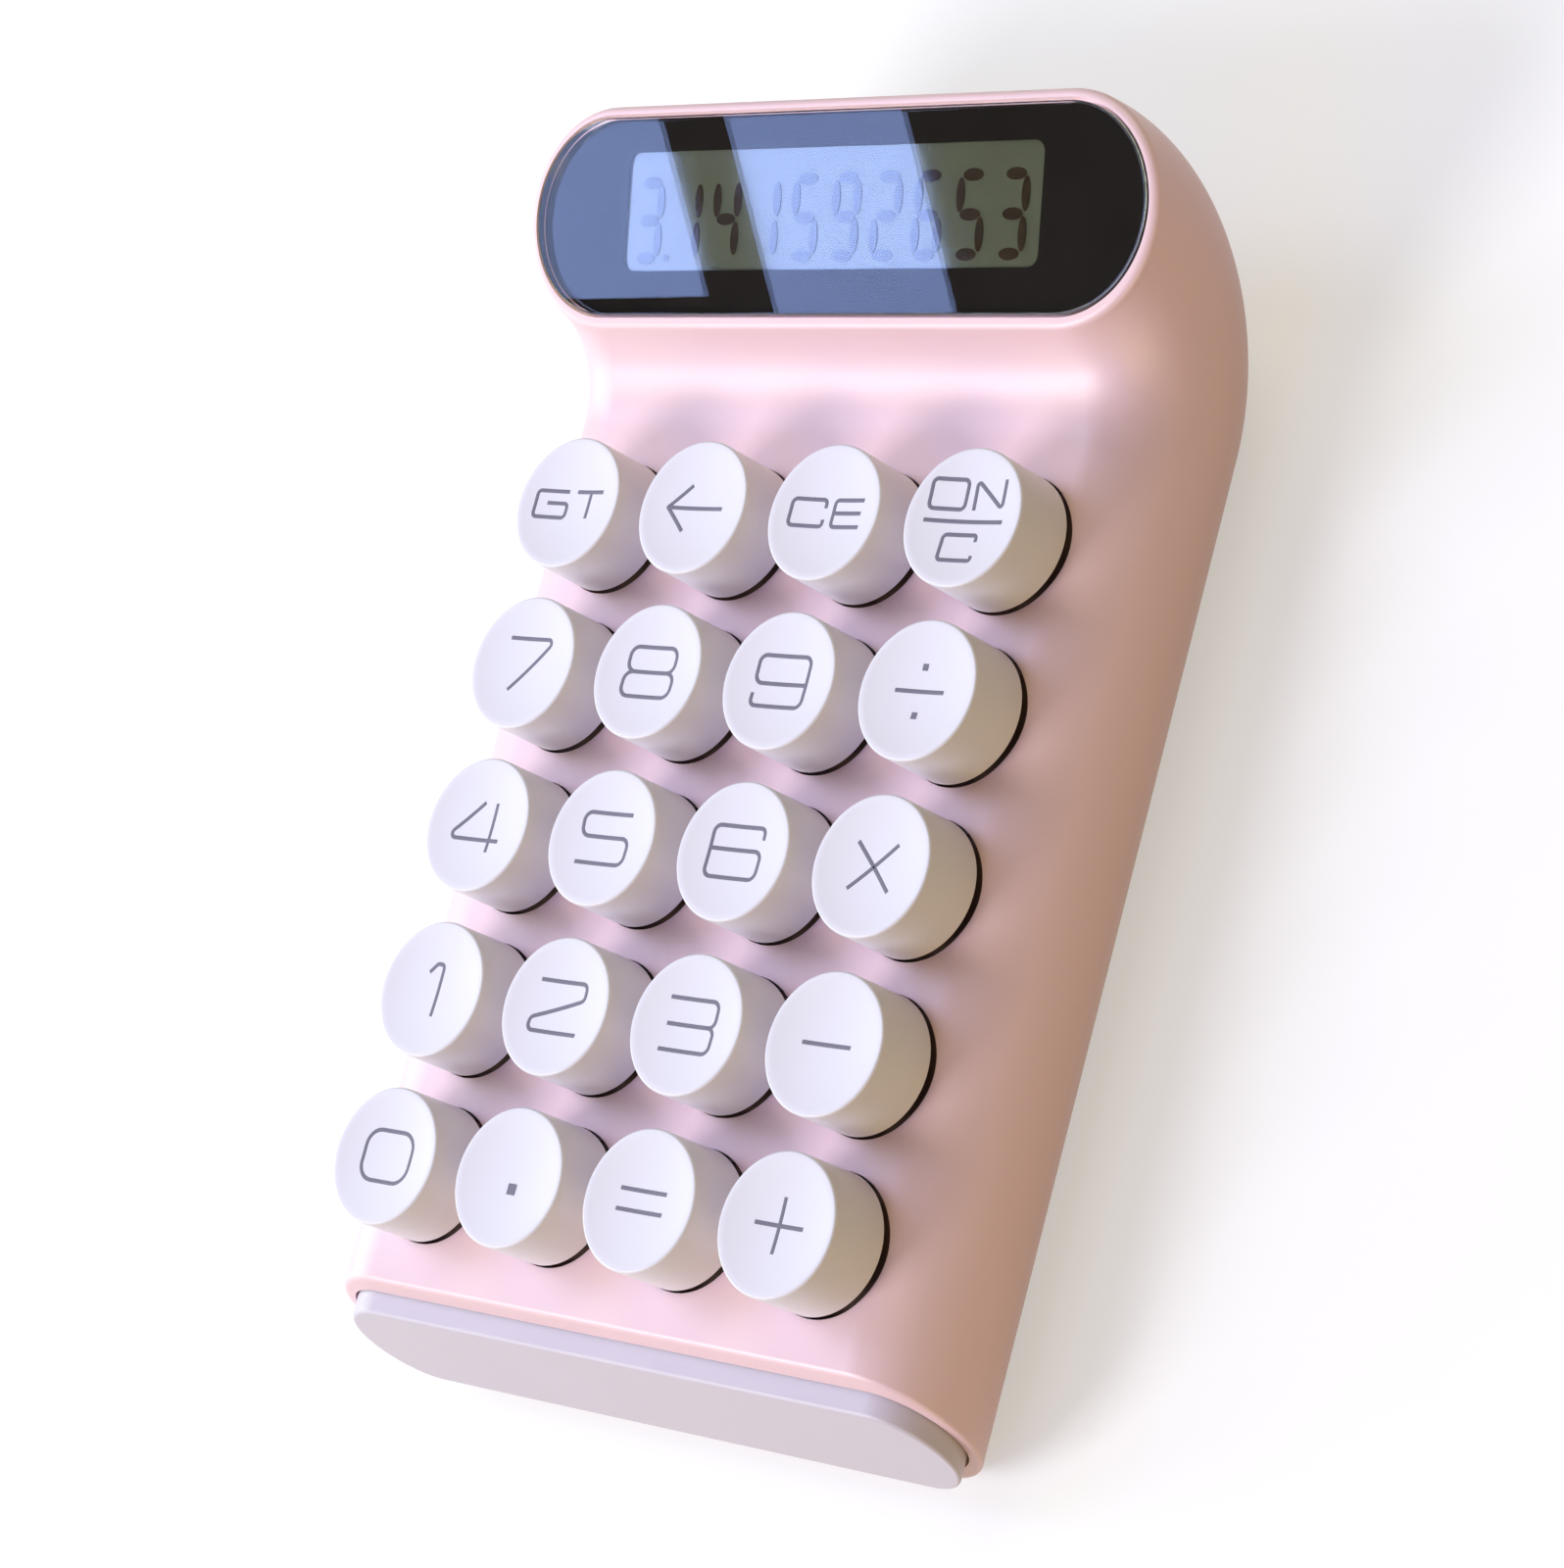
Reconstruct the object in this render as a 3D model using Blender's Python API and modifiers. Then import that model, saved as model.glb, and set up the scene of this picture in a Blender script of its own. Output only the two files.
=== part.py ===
"""A desktop calculator: a flat tube that bends up into a display head, with twenty round mechanical keys."""

import math

import bmesh
import bpy
from mathutils import Vector

MM = 0.001

# Clearances, and how near points are made one
FIT_GAP = 0.3 * MM
CUT_OVERRUN = 1.0 * MM
MERGE_SHARE = 0.001
MERGE = FIT_GAP * MERGE_SHARE
SHARP_ANGLE = math.radians(35)

# Key field
KEY_PITCH = 19.05 * MM
ROW_PITCH = 18.77 * MM
KEY_NAMES = (
    ("0", "point", "equals", "plus"),
    ("1", "2", "3", "minus"),
    ("4", "5", "6", "multiply"),
    ("7", "8", "9", "divide"),
    ("grand_total", "backspace", "clear_entry", "on_clear"),
)
ROWS = len(KEY_NAMES)
COLUMNS = len(KEY_NAMES[0])
FIELD_WIDTH = (COLUMNS - 1) * KEY_PITCH
FIELD_DEPTH = (ROWS - 1) * ROW_PITCH
FIELD_Y = FIELD_DEPTH / 2

# Keycap, measured from the deck on its own axis
KEY_RADIUS = 7.65 * MM
KEY_FACE_HEIGHT = 8.5 * MM
KEY_LIFT = 0.8 * MM
KEY_TRAVEL = 3.0 * MM
KEY_EDGE = 0.45 * MM
KEY_DISH = 0.6 * MM
KEY_DISH_SHARES = (0.8, 0.45)
KEY_WALL = 1.1 * MM
KEY_TOP = 1.3 * MM
KEY_SIDES = 20
KEY_HOLE_GAP = 0.35 * MM
KEY_HOLE_SIDES = 24
STEM_RADIUS = 2.0 * MM
STEM_REACH = 1.5 * MM

# Key switch
SWITCH_WIDTH = 13.6 * MM
SWITCH_HEIGHT = 5.1 * MM
SWITCH_FLOOR = 0.35 * MM
SWITCH_PRESS_ROOM = 0.7 * MM
FLANGE_OVERHANG = 0.4 * MM
FLANGE_HEIGHT = 0.8 * MM
FLANGE_DROP = 0.6 * MM
BORE_SIDES = 12

# Switch plate and circuit board
PLATE_THICKNESS = 1.2 * MM
PLATE_MARGIN = 1.9 * MM
BOARD_THICKNESS = 1.6 * MM

# Housing tube, whose margins are measured from the key axes
SIDE_MARGIN = 15.625 * MM
FRONT_MARGIN = 15.85 * MM
NECK_MARGIN = 12.12 * MM
WALL = 2.0 * MM
RIM_FLARE = 0.95 * MM
NECK_RADIUS = 9.7 * MM
NECK_TURN = math.radians(73.3)
BACK_LAG = 5.1 * MM
BACK_RADIUS = 28.6 * MM
BACK_TURN = math.radians(100.4)
RIM_EDGE = 1.1 * MM
RIM_ROUND_SHARE = 0.9
LIP_EDGE = 1.1 * MM
FRONT_LEAN = math.radians(18)
END_STEPS = 10
BEND_STEPS = 10
EDGE_STEPS = 2
INNER_BEND_SHARE = 0.75

# Front cap and its mouth
CAP_SIDE_BAND = 1.45 * MM
CAP_TOP_BAND = 2.9 * MM
CAP_PROUD = 2.4 * MM
CAP_EDGE = 0.4 * MM
CAP_WALL = 1.6 * MM
MOUTH_DEPTH = 4.4 * MM
MOUTH_STEP = 1.0 * MM

# Display window, screen and its frame
LENS_BAND = 1.4 * MM
LENS_GROOVE = 0.3 * MM
LENS_THICKNESS = 1.8 * MM
LENS_PROUD = 0.2 * MM
LENS_EDGE = 0.25 * MM
SCREEN_WIDTH = 64.0 * MM
SCREEN_THICKNESS = 2.2 * MM
FRAME_BORDER = 0.9 * MM
FRAME_FLOOR = 1.0 * MM

# Ribbon from the screen to the board
RIBBON_WIDTH = 26.0 * MM
RIBBON_THICKNESS = 0.3 * MM
RIBBON_LAP = 6.0 * MM
RIBBON_STEPS = 4

# Base cover, its posts and screws
COVER_THICKNESS = 2.0 * MM
COVER_CORNER = 4.0 * MM
OPENING_MARGIN = 0.6 * MM
POST_RADIUS = 2.7 * MM
PEG_RADIUS = 1.8 * MM
POST_SIDES = 16
POST_COLUMN_SHARE = 1.0
POST_ROW_SHARES = (0.5, 3.5)
SCREW_RADIUS = 0.75 * MM
SCREW_GAP = 0.25 * MM
SCREW_BITE = 4.0 * MM
SCREW_HEAD_RADIUS = 1.7 * MM
SCREW_HEAD_HEIGHT = 0.9 * MM
SCREW_RECESS = 0.1 * MM
SCREW_SLOT_WIDTH = 0.5 * MM
SCREW_SLOT_DEPTH = 0.4 * MM

# Cell, its well and its door
CELL_ROW_SHARE = 2.0
CELL_RADIUS = 10.0 * MM
CELL_HEIGHT = 3.2 * MM
CELL_ROOM = 3.3 * MM
CELL_STEP = 0.5 * MM
CELL_SIDES = 24
WELL_WALL = 1.2 * MM
WELL_LIP = 0.9 * MM
WELL_ROOF = 1.2 * MM
DOOR_MARGIN = 1.7 * MM
DOOR_BOSS_INSET = 0.5 * MM
DOOR_TAB_REACH = 1.7 * MM
DOOR_TAB_WIDTH = 5.0 * MM
DOOR_TAB_HEIGHT = 0.8 * MM
DOOR_TURN = math.radians(45)
COIN_SLOT_LENGTH = 14.0 * MM
COIN_SLOT_WIDTH = 2.0 * MM
COIN_SLOT_DEPTH = 1.1 * MM
COIN_SLOT_END_SHARE = 0.45

# Cell contacts
CONTACT_WIDTH = 4.0 * MM
CONTACT_THICKNESS = 0.4 * MM
CONTACT_PAD = 3.0 * MM
CONTACT_GRIP = 2.0 * MM

# Controller under its resin drop
CHIP_ROW_SHARE = 3.2
CHIP_RADIUS = 6.0 * MM
CHIP_HEIGHT = 1.6 * MM
CHIP_CROWN = 0.8 * MM

# Rubber feet
FOOT_LENGTH = 52.0 * MM
FOOT_DEPTH = 5.0 * MM
FOOT_PROUD = 1.2 * MM
FOOT_POCKET = 0.8 * MM
FOOT_CORNER = 2.2 * MM
FRONT_FOOT_INSET = 2.95 * MM
REAR_FOOT_INSET = 1.1 * MM

# Levels below the deck that follow from the sizes above
SWITCH_TOP = KEY_LIFT - KEY_TRAVEL - SWITCH_PRESS_ROOM
SWITCH_BOTTOM = SWITCH_TOP - SWITCH_HEIGHT
FLANGE_BOTTOM = SWITCH_TOP - FLANGE_DROP - FLANGE_HEIGHT
PLATE_TOP = FLANGE_BOTTOM - FIT_GAP
BOARD_TOP = SWITCH_BOTTOM - FIT_GAP
BOARD_BOTTOM = BOARD_TOP - BOARD_THICKNESS
CELL_STACK = COVER_THICKNESS + FIT_GAP + DOOR_TAB_HEIGHT + FIT_GAP + CELL_HEIGHT
BODY_HEIGHT = CELL_STACK + CELL_ROOM - BOARD_BOTTOM
BASE_Z = -BODY_HEIGHT
COVER_TOP = BASE_Z + COVER_THICKNESS
POST_TOP = BOARD_BOTTOM - FIT_GAP
TAB_BOTTOM = COVER_TOP + FIT_GAP
TAB_TOP = TAB_BOTTOM + DOOR_TAB_HEIGHT
CELL_BOTTOM = TAB_TOP + FIT_GAP
CELL_TOP = CELL_BOTTOM + CELL_HEIGHT
WELL_TOP = CELL_TOP + WELL_LIP

# Widths that follow
SWITCH_HOLE = SWITCH_WIDTH + 2 * FIT_GAP
FLANGE_WIDTH = SWITCH_WIDTH + 2 * FLANGE_OVERHANG
PLATE_WIDTH = FIELD_WIDTH + SWITCH_HOLE + 2 * PLATE_MARGIN
PLATE_DEPTH = FIELD_DEPTH + SWITCH_HOLE + 2 * PLATE_MARGIN
OPENING_WIDTH = PLATE_WIDTH + 2 * OPENING_MARGIN
OPENING_DEPTH = PLATE_DEPTH + 2 * OPENING_MARGIN
COVER_WIDTH = OPENING_WIDTH - 2 * FIT_GAP
COVER_DEPTH = OPENING_DEPTH - 2 * FIT_GAP
CELL_Y = CELL_ROW_SHARE * ROW_PITCH
DOOR_RADIUS = CELL_RADIUS + DOOR_MARGIN
DOOR_HOLE_RADIUS = DOOR_RADIUS + FIT_GAP
TAB_RADIUS = DOOR_RADIUS + DOOR_TAB_REACH
WELL_RADIUS = CELL_RADIUS + FIT_GAP
PEG_HOLE_RADIUS = PEG_RADIUS + FIT_GAP
SCREW_BORE_RADIUS = SCREW_RADIUS + SCREW_GAP

# Front end, bend and overall extent
HALF_HEIGHT = BODY_HEIGHT / 2
HALF_WIDTH = FIELD_WIDTH / 2 + SIDE_MARGIN
RIM_HALF_WIDTH = HALF_WIDTH + RIM_FLARE
CAP_HALF_HEIGHT = HALF_HEIGHT - CAP_TOP_BAND
CAP_HALF_WIDTH = HALF_WIDTH - CAP_SIDE_BAND
FRONT_SLOPE = math.tan(FRONT_LEAN)
LIP_Y = -FRONT_MARGIN
FRONT_Y = LIP_Y - CAP_PROUD - FRONT_SLOPE * (CAP_HALF_HEIGHT - CAP_EDGE)
NECK_START = FIELD_DEPTH + NECK_MARGIN
BACK_START = NECK_START + BACK_LAG
BACK_Y = BACK_START + BACK_RADIUS
FRONT_FOOT_Y = LIP_Y - FRONT_SLOPE * HALF_HEIGHT + FRONT_FOOT_INSET + FOOT_DEPTH / 2
REAR_FOOT_Y = BACK_START - REAR_FOOT_INSET - FOOT_DEPTH / 2

PLASTIC_PINK = ("pink_plastic", (0.91, 0.62, 0.70), 0.38, 0.0)
PLASTIC_WHITE = ("white_plastic", (0.86, 0.84, 0.88), 0.42, 0.0)
PLASTIC_BLACK = ("black_plastic", (0.03, 0.03, 0.035), 0.45, 0.0)
PLASTIC_BROWN = ("brown_switch_plastic", (0.16, 0.09, 0.06), 0.5, 0.0)
WINDOW_BLACK = ("window_black", (0.012, 0.011, 0.011), 0.06, 0.0)
SCREEN_OLIVE = ("screen_olive", (0.10, 0.12, 0.07), 0.2, 0.0)
BOARD_GREEN = ("board_green", (0.03, 0.16, 0.07), 0.45, 0.0)
STEEL = ("steel", (0.55, 0.55, 0.56), 0.3, 1.0)
CONTACT_NICKEL = ("contact_nickel", (0.62, 0.58, 0.50), 0.28, 1.0)
RIBBON_AMBER = ("ribbon_amber", (0.55, 0.25, 0.05), 0.35, 0.0)
RUBBER = ("rubber", (0.05, 0.05, 0.055), 0.8, 0.0)
RESIN = ("resin_black", (0.015, 0.015, 0.015), 0.5, 0.0)


def clear_scene():
    """Empties the start-up scene."""
    for thing in list(bpy.data.objects):
        bpy.data.objects.remove(thing, do_unlink=True)


def new_collection(name, parent):
    """A collection inside another."""
    made = bpy.data.collections.new(name)
    parent.children.link(made)
    return made


def finish(finish_values):
    """The Principled material of this name, made on first use."""
    name, colour, roughness, metallic = finish_values
    found = bpy.data.materials.get(name)
    if found:
        return found
    made = bpy.data.materials.new(name)
    made.use_nodes = True
    shader = made.node_tree.nodes["Principled BSDF"]
    shader.inputs["Base Color"].default_value = (*colour, 1.0)
    shader.inputs["Roughness"].default_value = roughness
    shader.inputs["Metallic"].default_value = metallic
    return made


def add_object(name, mesh, look, collection, place=(0, 0, 0)):
    """An object with this mesh and finish at a place in the key field's frame."""
    made = bpy.data.objects.new(name, mesh)
    if look and not mesh.materials:
        mesh.materials.append(finish(look))
    made.location = place
    collection.objects.link(made)
    made.parent = bpy.data.objects.get("calculator")
    return made


def mesh_from(name, build):
    """A mesh filled by a function that works on a bmesh, its normals facing out."""
    shape = bmesh.new()
    build(shape)
    bmesh.ops.recalc_face_normals(shape, faces=shape.faces)
    mesh = bpy.data.meshes.new(name)
    shape.to_mesh(mesh)
    shape.free()
    return mesh


def shade_round(thing):
    """Smooth shading with sharp edges where the form turns."""
    thing.data.shade_smooth()
    thing.data.set_sharp_from_angle(angle=SHARP_ANGLE)


def add_box(shape, size, centre):
    """Adds a box of this size at this centre."""
    made = bmesh.ops.create_cube(shape, size=1.0)["verts"]
    bmesh.ops.scale(shape, vec=Vector(size), verts=made)
    bmesh.ops.translate(shape, vec=Vector(centre), verts=made)
    return made


def add_rounded_box(shape, size, centre, corner, steps=4):
    """Adds a box whose upright edges are rounded."""
    made = add_box(shape, size, centre)
    edges = {edge for vert in made for edge in vert.link_edges}
    upright = [edge for edge in edges if abs(edge.verts[0].co.z - edge.verts[1].co.z) > size[2] / 2]
    bmesh.ops.bevel(shape, geom=upright, offset=corner, segments=steps, affect="EDGES", profile=0.5)


def add_cylinder(shape, radius, bottom, top, place, sides):
    """Adds an upright cylinder between two levels."""
    made = bmesh.ops.create_cone(
        shape, cap_ends=True, segments=sides, radius1=radius, radius2=radius, depth=top - bottom
    )["verts"]
    bmesh.ops.translate(shape, vec=Vector((place[0], place[1], (top + bottom) / 2)), verts=made)
    return made


def add_profile(shape, points):
    """Adds a profile of edges in the XZ plane, for a Screw modifier."""
    verts = [shape.verts.new((radius, 0, level)) for radius, level in points]
    for first, second in zip(verts, verts[1:]):
        shape.edges.new((first, second))


def turned_mesh(name, points):
    """A mesh that holds a profile, which runs down its outer side."""
    mesh = bpy.data.meshes.new(name)
    shape = bmesh.new()
    add_profile(shape, points)
    shape.to_mesh(mesh)
    shape.free()
    return mesh


def turn(thing, sides):
    """Turns a profile round Z into a closed solid."""
    screw = thing.modifiers.new("turn", "SCREW")
    screw.axis = "Z"
    screw.steps = sides
    screw.render_steps = sides
    screw.use_merge_vertices = True
    screw.merge_threshold = MERGE
    screw.use_smooth_shade = False


def combine(thing, other, operation):
    """Adds an exact Boolean with another object."""
    made = thing.modifiers.new(other.name, "BOOLEAN")
    made.operation = operation
    made.solver = "EXACT"
    made.object = other
    return made


def helper(name, build, cutters):
    """A hidden solid that cuts or joins."""
    made = add_object(name, mesh_from(name, build), None, cutters)
    made.hide_render = True
    made.display_type = "WIRE"
    return made


def settled_mesh(thing, name):
    """The mesh of an object with its modifiers applied; the object is removed."""
    graph = bpy.context.evaluated_depsgraph_get()
    graph.update()
    mesh = bpy.data.meshes.new_from_object(thing.evaluated_get(graph))
    mesh.name = name
    bpy.data.objects.remove(thing, do_unlink=True)
    return mesh


def blend(first, second, share):
    """The value at this share of the way from the first to the second."""
    return first + (second - first) * share


def arc_point(start, radius, turned):
    """The point on an arc that leaves its start along +Y and turns up."""
    return Vector((start[0] + radius * math.sin(turned), start[1] + radius * (1 - math.cos(turned))))


def pill_ring(centre, up, half_width, half_height, end_radius):
    """The points round a pill outline, whose long side is X and whose short side points along up."""
    ring = []
    for side in (1, -1):
        for step in range(END_STEPS + 1):
            turned = side * math.pi * (step / END_STEPS - 0.5)
            across = side * (half_width - end_radius + end_radius * math.cos(turned))
            rise = up * (half_height * math.sin(turned))
            ring.append(Vector((across, centre[0] + rise[0], centre[1] + rise[1])))
    return ring


def section_ring(near, far, half_width, end_radius, inset=0.0, push=Vector((0, 0))):
    """A ring of the tube between its deck side and its base side, drawn in by the inset."""
    spread = (near - far) / 2
    centre = (near + far) / 2 + push
    up = spread.normalized()
    return pill_ring(centre, up, half_width - inset, spread.length - inset, end_radius - inset)


def bend_ends(share):
    """The tube's points on the deck side and on the base side at this share of the bend."""
    near = arc_point((NECK_START, 0), NECK_RADIUS, NECK_TURN * share)
    far = arc_point((BACK_START, BASE_Z), BACK_RADIUS, BACK_TURN * share)
    return near, far


RIM_NEAR, RIM_FAR = bend_ends(1.0)
RIM_CENTRE = (RIM_NEAR + RIM_FAR) / 2
RIM_HALF_HEIGHT = (RIM_NEAR - RIM_FAR).length / 2
RIM_UP = (RIM_NEAR - RIM_FAR).normalized()
RIM_NORMAL = Vector((RIM_UP[1], -RIM_UP[0]))
RIM_TILT = math.atan2(-RIM_NORMAL[0], RIM_NORMAL[1])
LENS_HALF_WIDTH = RIM_HALF_WIDTH - LENS_BAND
LENS_HALF_HEIGHT = RIM_HALF_HEIGHT - LENS_BAND
LENS_BOTTOM = LENS_PROUD - LENS_THICKNESS
SCREEN_TOP = LENS_BOTTOM - FIT_GAP
FRAME_BOTTOM = SCREEN_TOP - SCREEN_THICKNESS - FIT_GAP - FRAME_FLOOR


def head_reach(level):
    """How far the head's inner skin lies from its middle at this level, on its narrower side."""
    near, far = bend_ends(INNER_BEND_SHARE)
    pull = (near - far).normalized() * WALL
    reaches = []
    for side, end in ((1, near - pull), (-1, far + pull)):
        across = side * (end - RIM_CENTRE).dot(RIM_UP)
        depth = (end - RIM_CENTRE).dot(RIM_NORMAL)
        share = (level - SCREEN_TOP) / (depth - SCREEN_TOP)
        reaches.append(blend(RIM_HALF_HEIGHT - WALL, across, share))
    return min(reaches)


SCREEN_HEIGHT = 2 * (head_reach(FRAME_BOTTOM) - FIT_GAP - FRAME_BORDER - FIT_GAP)


def bend_ring(share, inset=0.0):
    """A ring of the tube in its bend."""
    near, far = bend_ends(share)
    half_width = blend(HALF_WIDTH, RIM_HALF_WIDTH, share * share)
    end_radius = blend(HALF_HEIGHT, RIM_HALF_HEIGHT, share)
    return section_ring(near, far, half_width, end_radius, inset)


def rim_ring(half_width, half_height, level):
    """A ring parallel to the rim, this far above it."""
    return pill_ring(RIM_CENTRE + RIM_NORMAL * level, RIM_UP, half_width, half_height, half_height)


def front_ring(half_width, half_height, forward):
    """A ring parallel to the leaning front end, this far in front of the lip."""
    near = Vector((LIP_Y - forward + FRONT_SLOPE * half_height, half_height - HALF_HEIGHT))
    far = Vector((LIP_Y - forward - FRONT_SLOPE * half_height, -half_height - HALF_HEIGHT))
    return section_ring(near, far, half_width, half_height)


def upright_ring(half_width, half_height, place):
    """An upright ring of the tube at this Y."""
    centre = Vector((place, -HALF_HEIGHT))
    return pill_ring(centre, Vector((0, 1)), half_width, half_height, half_height)


def edge_steps(radius):
    """Inset and depth of each ring of a rounded edge, from its face to its side."""
    for step in range(EDGE_STEPS + 1):
        turned = math.pi / 2 * step / EDGE_STEPS
        yield radius * (1 - math.sin(turned)), radius * (1 - math.cos(turned))


def edge_point(corner, rise, outward, share):
    """A point on the rounded edge from a skin that rises to a corner to the rim's face."""
    lean = math.asin(-rise.dot(outward))
    reach = (1 - math.sin(lean)) / math.cos(lean)
    radius = min(RIM_EDGE, RIM_ROUND_SHARE * (LENS_BAND - LENS_GROOVE) / reach)
    turned = blend(lean, math.pi / 2, share)
    centre = corner - outward * (radius * reach) - RIM_NORMAL * radius
    return centre + (outward * math.cos(turned) + RIM_NORMAL * math.sin(turned)) * radius


def rim_edge_rings():
    """The rings of the rim's rounded edge, from the skin to its flat face."""
    neck_rise = Vector((math.cos(NECK_TURN), math.sin(NECK_TURN)))
    back_rise = Vector((math.cos(BACK_TURN), math.sin(BACK_TURN)))
    side_radius = min(RIM_EDGE, RIM_ROUND_SHARE * (LENS_BAND - LENS_GROOVE))
    for step in range(EDGE_STEPS + 1):
        share = step / EDGE_STEPS
        near = edge_point(RIM_NEAR, neck_rise, RIM_UP, share)
        far = edge_point(RIM_FAR, back_rise, -RIM_UP, share)
        inset = side_radius * (1 - math.cos(math.pi / 2 * share))
        yield section_ring(near, far, RIM_HALF_WIDTH - inset, RIM_HALF_HEIGHT - inset)


def add_loft(shape, rings, loop=False):
    """Joins rings of equal length with faces, into a loop or with flat ends."""
    verts = [[shape.verts.new(point) for point in ring] for ring in rings]
    pairs = list(zip(verts, verts[1:]))
    if loop:
        pairs.append((verts[-1], verts[0]))
    else:
        shape.faces.new(verts[0])
        shape.faces.new(verts[-1])
    for first, second in pairs:
        count = len(first)
        for index in range(count):
            after = (index + 1) % count
            shape.faces.new((first[index], first[after], second[after], second[index]))


def outer_rings():
    """The rings of the tube's outer skin from its lip to its rim."""
    rings = []
    for inset, depth in edge_steps(LIP_EDGE):
        rings.append(front_ring(HALF_WIDTH - inset, HALF_HEIGHT - inset, -depth))
    for step in range(BEND_STEPS):
        rings.append(bend_ring(step / BEND_STEPS))
    rings.extend(rim_edge_rings())
    return rings


def inner_rings():
    """The rings of the tube's inner skin from the window's seat to the front mouth."""
    pocket = (LENS_HALF_WIDTH + LENS_GROOVE, LENS_HALF_HEIGHT + LENS_GROOVE)
    seat = LENS_BOTTOM - FIT_GAP
    rings = [
        rim_ring(*pocket, 0.0),
        rim_ring(*pocket, seat),
        rim_ring(RIM_HALF_WIDTH - WALL, RIM_HALF_HEIGHT - WALL, seat),
    ]
    steps = round(BEND_STEPS * INNER_BEND_SHARE)
    for step in range(steps, -1, -1):
        rings.append(bend_ring(INNER_BEND_SHARE * step / steps, WALL))
    mouth = (CAP_HALF_WIDTH + FIT_GAP, CAP_HALF_HEIGHT + FIT_GAP)
    mouth_end = LIP_Y + MOUTH_DEPTH
    rings.append(upright_ring(HALF_WIDTH - WALL, HALF_HEIGHT - WALL, mouth_end + MOUTH_STEP))
    rings.append(upright_ring(*mouth, mouth_end))
    rings.append(front_ring(*mouth, 0.0))
    return rings


def key_places():
    """Name, X and Y of each key."""
    for row, names in enumerate(KEY_NAMES):
        for column, name in enumerate(names):
            yield name, (column - (COLUMNS - 1) / 2) * KEY_PITCH, row * ROW_PITCH


def post_places():
    """Name, X and Y of each post, where four keys meet."""
    for end, row in zip(("front", "rear"), POST_ROW_SHARES):
        for side, sign in (("left", -1), ("right", 1)):
            yield f"{end}_{side}", sign * POST_COLUMN_SHARE * KEY_PITCH, row * ROW_PITCH


def make_housing(parts, cutters):
    """The one-piece tube, with key holes, base opening, foot pockets and four posts for the screws."""

    def walls(shape):
        add_loft(shape, outer_rings() + inner_rings(), loop=True)

    def posts(shape):
        for _, x, y in post_places():
            add_cylinder(shape, POST_RADIUS, PLATE_TOP + FIT_GAP, -WALL / 2, (x, y), POST_SIDES)

    def pegs(shape):
        for _, x, y in post_places():
            add_cylinder(shape, PEG_RADIUS, BOARD_BOTTOM, -WALL, (x, y), POST_SIDES)

    def bores(shape):
        for _, x, y in post_places():
            bore_top = BOARD_BOTTOM + SCREW_BITE + SCREW_GAP
            add_cylinder(shape, SCREW_BORE_RADIUS, BOARD_BOTTOM - CUT_OVERRUN, bore_top, (x, y), BORE_SIDES)

    def key_holes(shape):
        for _, x, y in key_places():
            hole = KEY_RADIUS + KEY_HOLE_GAP
            add_cylinder(shape, hole, SWITCH_TOP - CUT_OVERRUN, CUT_OVERRUN, (x, y), KEY_HOLE_SIDES)

    def opening(shape):
        low, high = BASE_Z - CUT_OVERRUN, (COVER_TOP + BOARD_BOTTOM) / 2
        size = (OPENING_WIDTH, OPENING_DEPTH, high - low)
        add_rounded_box(shape, size, (0, FIELD_Y, (low + high) / 2), COVER_CORNER)

    def foot_pockets(shape):
        size = (FOOT_LENGTH + 2 * FIT_GAP, FOOT_DEPTH + 2 * FIT_GAP, FOOT_POCKET + CUT_OVERRUN)
        for y in (FRONT_FOOT_Y, REAR_FOOT_Y):
            centre = (0, y, BASE_Z + FOOT_POCKET - size[2] / 2)
            add_rounded_box(shape, size, centre, FOOT_CORNER + FIT_GAP)

    shell = add_object("housing_shell", mesh_from("housing_shell", walls), PLASTIC_PINK, parts)
    combine(shell, helper("post_form", posts, cutters), "UNION")
    combine(shell, helper("peg_form", pegs, cutters), "UNION")
    combine(shell, helper("screw_bore_cutter", bores, cutters), "DIFFERENCE")
    combine(shell, helper("key_hole_cutter", key_holes, cutters), "DIFFERENCE")
    combine(shell, helper("base_opening_cutter", opening, cutters), "DIFFERENCE")
    combine(shell, helper("foot_pocket_cutter", foot_pockets, cutters), "DIFFERENCE")
    return shell


def make_front_cap(parts):
    """The white plug that closes the front of the tube, hollow behind its face."""

    def build(shape):
        rings = []
        for inset, depth in edge_steps(CAP_EDGE):
            rings.append(front_ring(CAP_HALF_WIDTH - inset, CAP_HALF_HEIGHT - inset, CAP_PROUD - depth))
        rear = LIP_Y + MOUTH_DEPTH - FIT_GAP
        rings.append(upright_ring(CAP_HALF_WIDTH, CAP_HALF_HEIGHT, rear))
        inner = (CAP_HALF_WIDTH - CAP_WALL, CAP_HALF_HEIGHT - CAP_WALL)
        rings.append(upright_ring(*inner, rear))
        rings.append(front_ring(*inner, CAP_PROUD - CAP_WALL))
        add_loft(shape, rings)

    shade_round(add_object("front_cap", mesh_from("front_cap", build), PLASTIC_WHITE, parts))


def make_lens(parts):
    """The pill-shaped window that lies in the rim."""

    def build(shape):
        rings = []
        for inset, depth in edge_steps(LENS_EDGE):
            rings.append(rim_ring(LENS_HALF_WIDTH - inset, LENS_HALF_HEIGHT - inset, LENS_PROUD - depth))
        rings.append(rim_ring(LENS_HALF_WIDTH, LENS_HALF_HEIGHT, LENS_BOTTOM))
        add_loft(shape, rings)

    shade_round(add_object("display_lens", mesh_from("display_lens", build), WINDOW_BLACK, parts))


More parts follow.
